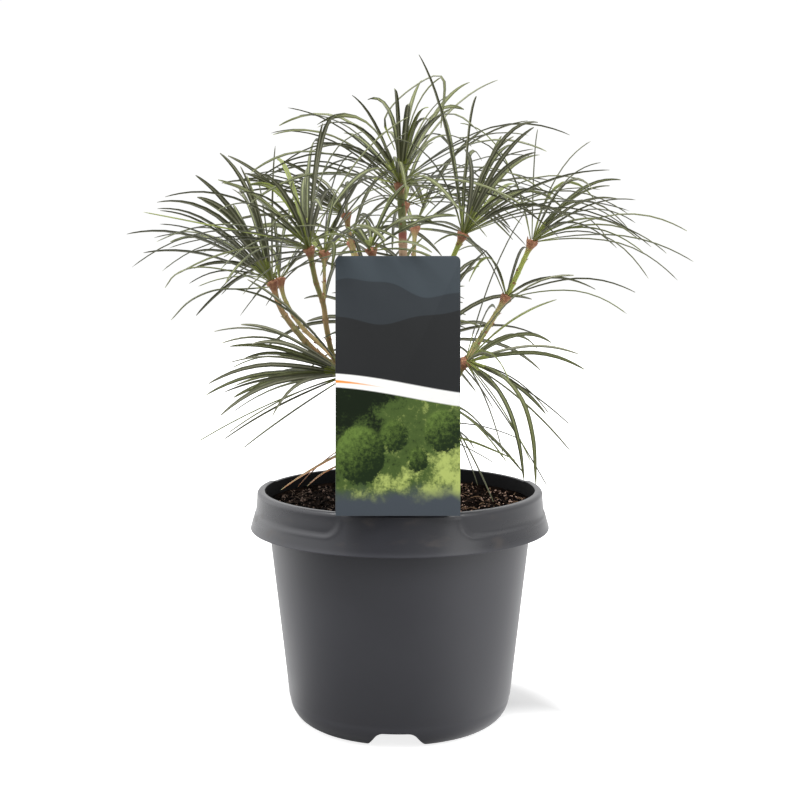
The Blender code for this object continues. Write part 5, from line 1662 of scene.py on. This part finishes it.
def needle_mesh(points, flat, twist, green, broad, stations=NEEDLE_STATIONS):
    """One needle of about ninety faces, with a finish for each face."""
    steps = np.arange(len(points))
    line = np.stack([np.interp(stations, steps, points[:, k]) for k in range(3)], 1)
    ahead = np.stack([np.interp(np.add(stations, LOOK_AHEAD), steps, points[:, k]) for k in range(3)], 1)
    widths = np.interp(stations, NEEDLE_STATIONS, STATION_WIDTHS)
    under = green if green in (DRY, FRESH) else UNDER
    strips = (green, GROOVE, GROOVE, green, under, STRIPE, under)
    verts, faces, finishes = [], [], []
    for j, (place, onward, wide) in enumerate(zip(line, ahead, widths)):
        tangent = (onward - place) / np.linalg.norm(onward - place)
        up = flat - tangent * np.dot(flat, tangent)
        up = up / np.linalg.norm(up)
        over = np.cross(tangent, up)
        angle = TWIST * twist * (0.3 + 0.7 * stations[j] / NEEDLE_STEPS)
        cos, sin = math.cos(angle), math.sin(angle)
        up, over = up * cos + over * sin, over * cos - up * sin
        thick = BLADE_THICK * (0.55 + 0.45 * wide)
        verts += [place + over * NEEDLE_WIDTH * broad * wide * s + up * thick * t for s, t in SECTION]
        if j:
            a, b = SIDES * (j - 1), SIDES * j
            for k in range(SIDES):
                n = (k + 1) % SIDES
                faces.append((a + k, b + k, b + n, a + n))
                yellow = stations[j] <= YELLOW_UNTIL and k != STRIPE_SIDE and green != DRY
                finishes.append(BASE if yellow else strips[k])
    base = SIDES * (len(line) - 1)
    spread = over * NEEDLE_WIDTH * TIP_WIDTH / 2
    verts += [points[-1] + spread, points[-1] - spread]
    right, left = base + SIDES, base + SIDES + 1
    for k, finish in enumerate(strips):
        end = right if k in (0, 1, 5, 6) else left
        faces.append((base + k, end, base + (k + 1) % SIDES))
        finishes.append(finish)
    faces += [(base + 2, right, left), (base + 5, left, right)]
    finishes += [GROOVE, STRIPE]
    faces.append(tuple(range(SIDES)))
    finishes.append(BASE)
    return verts, faces, finishes


print("blade section of", SIDES, "points at", len(NEEDLE_STATIONS), "stations")

# %% [markdown]
# On every living plant some needles bend in a way of their own. The ones that would strike the eye
# are drawn as curves through a few places, and the same section is carried along them.

# %% Needles that bend in their own way
LONE_STATIONS = tuple(np.linspace(0, 24, 20))
LONE_PIECES, LONE_STEP = 12, 0.0005
LONE_FLAT, LONE_TWIST = (0.0, -0.35, 0.94), 0.25

# Each one's colour, its breadth, and the places in millimetres that it passes
LONE_NEEDLES = (
    (FRESH, 1.15, ((-57, -44, 303), (-70.3, -52, 308.9), (-99.6, -60, 314.9), (-125.1, -66, 320.2),
                   (-148.8, -70, 324.9))),
    (OLIVE, 0.8, ((-55.7, -50, 304.2), (-58.1, -58, 315.5), (-62.8, -66, 322), (-68.7, -72, 322),
                  (-73.7, -75, 318), (-76.8, -74, 311.7))),
    (DEEP, 0.85, ((-53.2, -52, 304.8), (-54.9, -62, 317.3), (-58.4, -70, 328.9), (-62.5, -76, 337.5),
                  (-61.2, -78, 343.1))),
    (OLIVE, 0.9, ((-51, -50, 303.6), (-44.4, -62, 306.8), (-38.7, -72, 307.1), (-37.9, -78, 300.9),
                  (-39.6, -80, 291.8))),
    (DEEP, 1.0, ((-79.4, -24, 279.1), (-93.8, -34, 278.4), (-110.2, -44, 278.3), (-124.8, -52, 272.2),
                 (-135.7, -56, 261.2))),
    (OLIVE, 1.0, ((-80.5, -26, 281), (-99.1, -40, 288.9), (-119.4, -50, 292.3), (-132.3, -56, 288.4),
                  (-138.7, -58, 280.3))),
    (OLIVE, 1.0, ((41.3, -40, 235.8), (59.4, -60, 229.4), (71.7, -72, 215.4), (77.9, -78, 193.7),
                  (79.7, -80, 166.8))),
    (DEEP, 1.0, ((40.7, -40, 235.2), (54.6, -62, 224.9), (64, -74, 209.7), (69.6, -80, 190.5),
                 (72.7, -80, 169.2))),
    (FRESH, 1.5, ((-17, -54, 301.9), (-22.2, -62, 308), (-26.7, -68, 313.3), (-31.2, -70, 316.8))),
    (DRY, 0.8, ((-2.4, -8, 182), (-24.5, -30, 181), (-39.2, -48, 177.6), (-52.6, -58, 171.4),
                (-63.2, -62, 165.4))),
    (DRY, 0.9, ((-2.4, -8, 178.2), (-21.5, -30, 176), (-39.4, -44, 170.8), (-48.2, -50, 166.9),
                (-55.9, -54, 160.9))),
    (FRESH, 0.8, ((3.3, -8, 182), (24.7, -30, 189.1), (42.6, -44, 186.8), (60.3, -52, 180.7),
                  (69.2, -54, 176.8))),
    (UNDER, 0.7, ((-3, -10, 362.4), (-9.1, -12, 381.7), (7.4, -15, 399.5), (26.1, -20, 405.7),
                  (24.7, -30, 374.8))),
)


def lone_needle(places):
    """Its points, evenly spaced, the direction its flat side faces, and its twist."""
    places = [tuple(0.001 * v for v in place) for place in places]
    line, _ = even_line(smooth_line(places, LONE_PIECES), LONE_STEP)
    keep = np.linspace(0, len(line) - 1, NEEDLE_STEPS + 1).round().astype(int)
    return line[keep], np.array(LONE_FLAT), LONE_TWIST


print("needles with a bend of their own", len(LONE_NEEDLES))

# %% [markdown]
# The rule's needles arch evenly, but real ones are soft and their outer halves hang, each a little
# more or less. The line is bent down from its middle on. A needle that stands upright keeps its tip
# up, and one near the pot is left alone, so that none dips into the peat.

# %% Let the tips hang
HANG_START = 0.5
TIP_HANG = (0.05, 0.50)
HANG_CLEAR_OF = (0.180, 0.235)


def hanging_tip(points, amount):
    """The needle's line with its outer half bent down, less where it stands upright or is near the pot."""
    reach = points[-1] - points[0]
    length = np.linalg.norm(reach)
    clear = smooth_step(points[-1][2], *HANG_CLEAR_OF)
    lying = 1 - (reach[2] / length) ** 2
    share = np.clip(np.linspace(0, 1, len(points)) - HANG_START, 0, 1)
    return points - np.outer(amount * length * clear * lying * share**2, (0, 0, 1))


print("a tip hangs by at most", TIP_HANG[1] * (1 - HANG_START) ** 2, "of its needle's length")

# %% [markdown]
# All the needles become one mesh, because they share their finishes and none moves by itself. Each gets
# its colour and breadth by a seeded draw. The front whorls and the top one have the broadest blades.

# %% Build every needle
SLENDER, SLIGHT, BROAD, USUAL_BREADTH = (0.58, 0.84), (0.7, 0.95), (0.95, 1.30), (0.75, 1.10)
BREADTH = {"right_high": SLENDER, "right_mid": SLENDER, "left_back": SLIGHT, "right_back": SLIGHT}
BREADTH |= {name: BROAD for name in ("left_front", "left_low", "left_inner", "low_front", "top")}
GREENS, GREEN_SHARES = (DEEP, OLIVE, FRESH, UNDER), (0.54, 0.36, 0.06, 0.04)
DRY_AT_FOOT = 0.3

draw, weight = random.Random(77), random.Random(78)
parts, finishes = [], []
for green, broad, places in LONE_NEEDLES:
    verts, faces, kinds = needle_mesh(*lone_needle(places), green, broad, LONE_STATIONS)
    parts.append((verts, faces))
    finishes += kinds
for ring, needles in grown:
    for points, flat, twist in needles:
        green = draw.choices(GREENS, GREEN_SHARES)[0]
        if ring["name"] == "foot" and draw.random() < DRY_AT_FOOT:
            green = DRY
        broad = draw.uniform(*BREADTH.get(ring["name"], USUAL_BREADTH))
        points = hanging_tip(points, weight.uniform(*TIP_HANG))
        verts, faces, kinds = needle_mesh(points, flat, twist, green, broad)
        parts.append((verts, faces))
        finishes += kinds
needle_whorls = mesh_from("needle_whorls", *joined(parts), needle_finishes, finishes)
edit(needle_whorls)
bpy.ops.mesh.select_all(action="SELECT")
bpy.ops.mesh.normals_make_consistent(inside=False)
bpy.ops.object.mode_set(mode="OBJECT")
smooth_shaded(needle_whorls, 42)
hand_over(needle_whorls, "needles", *["needles_" + each["name"] for each in WHORLS])
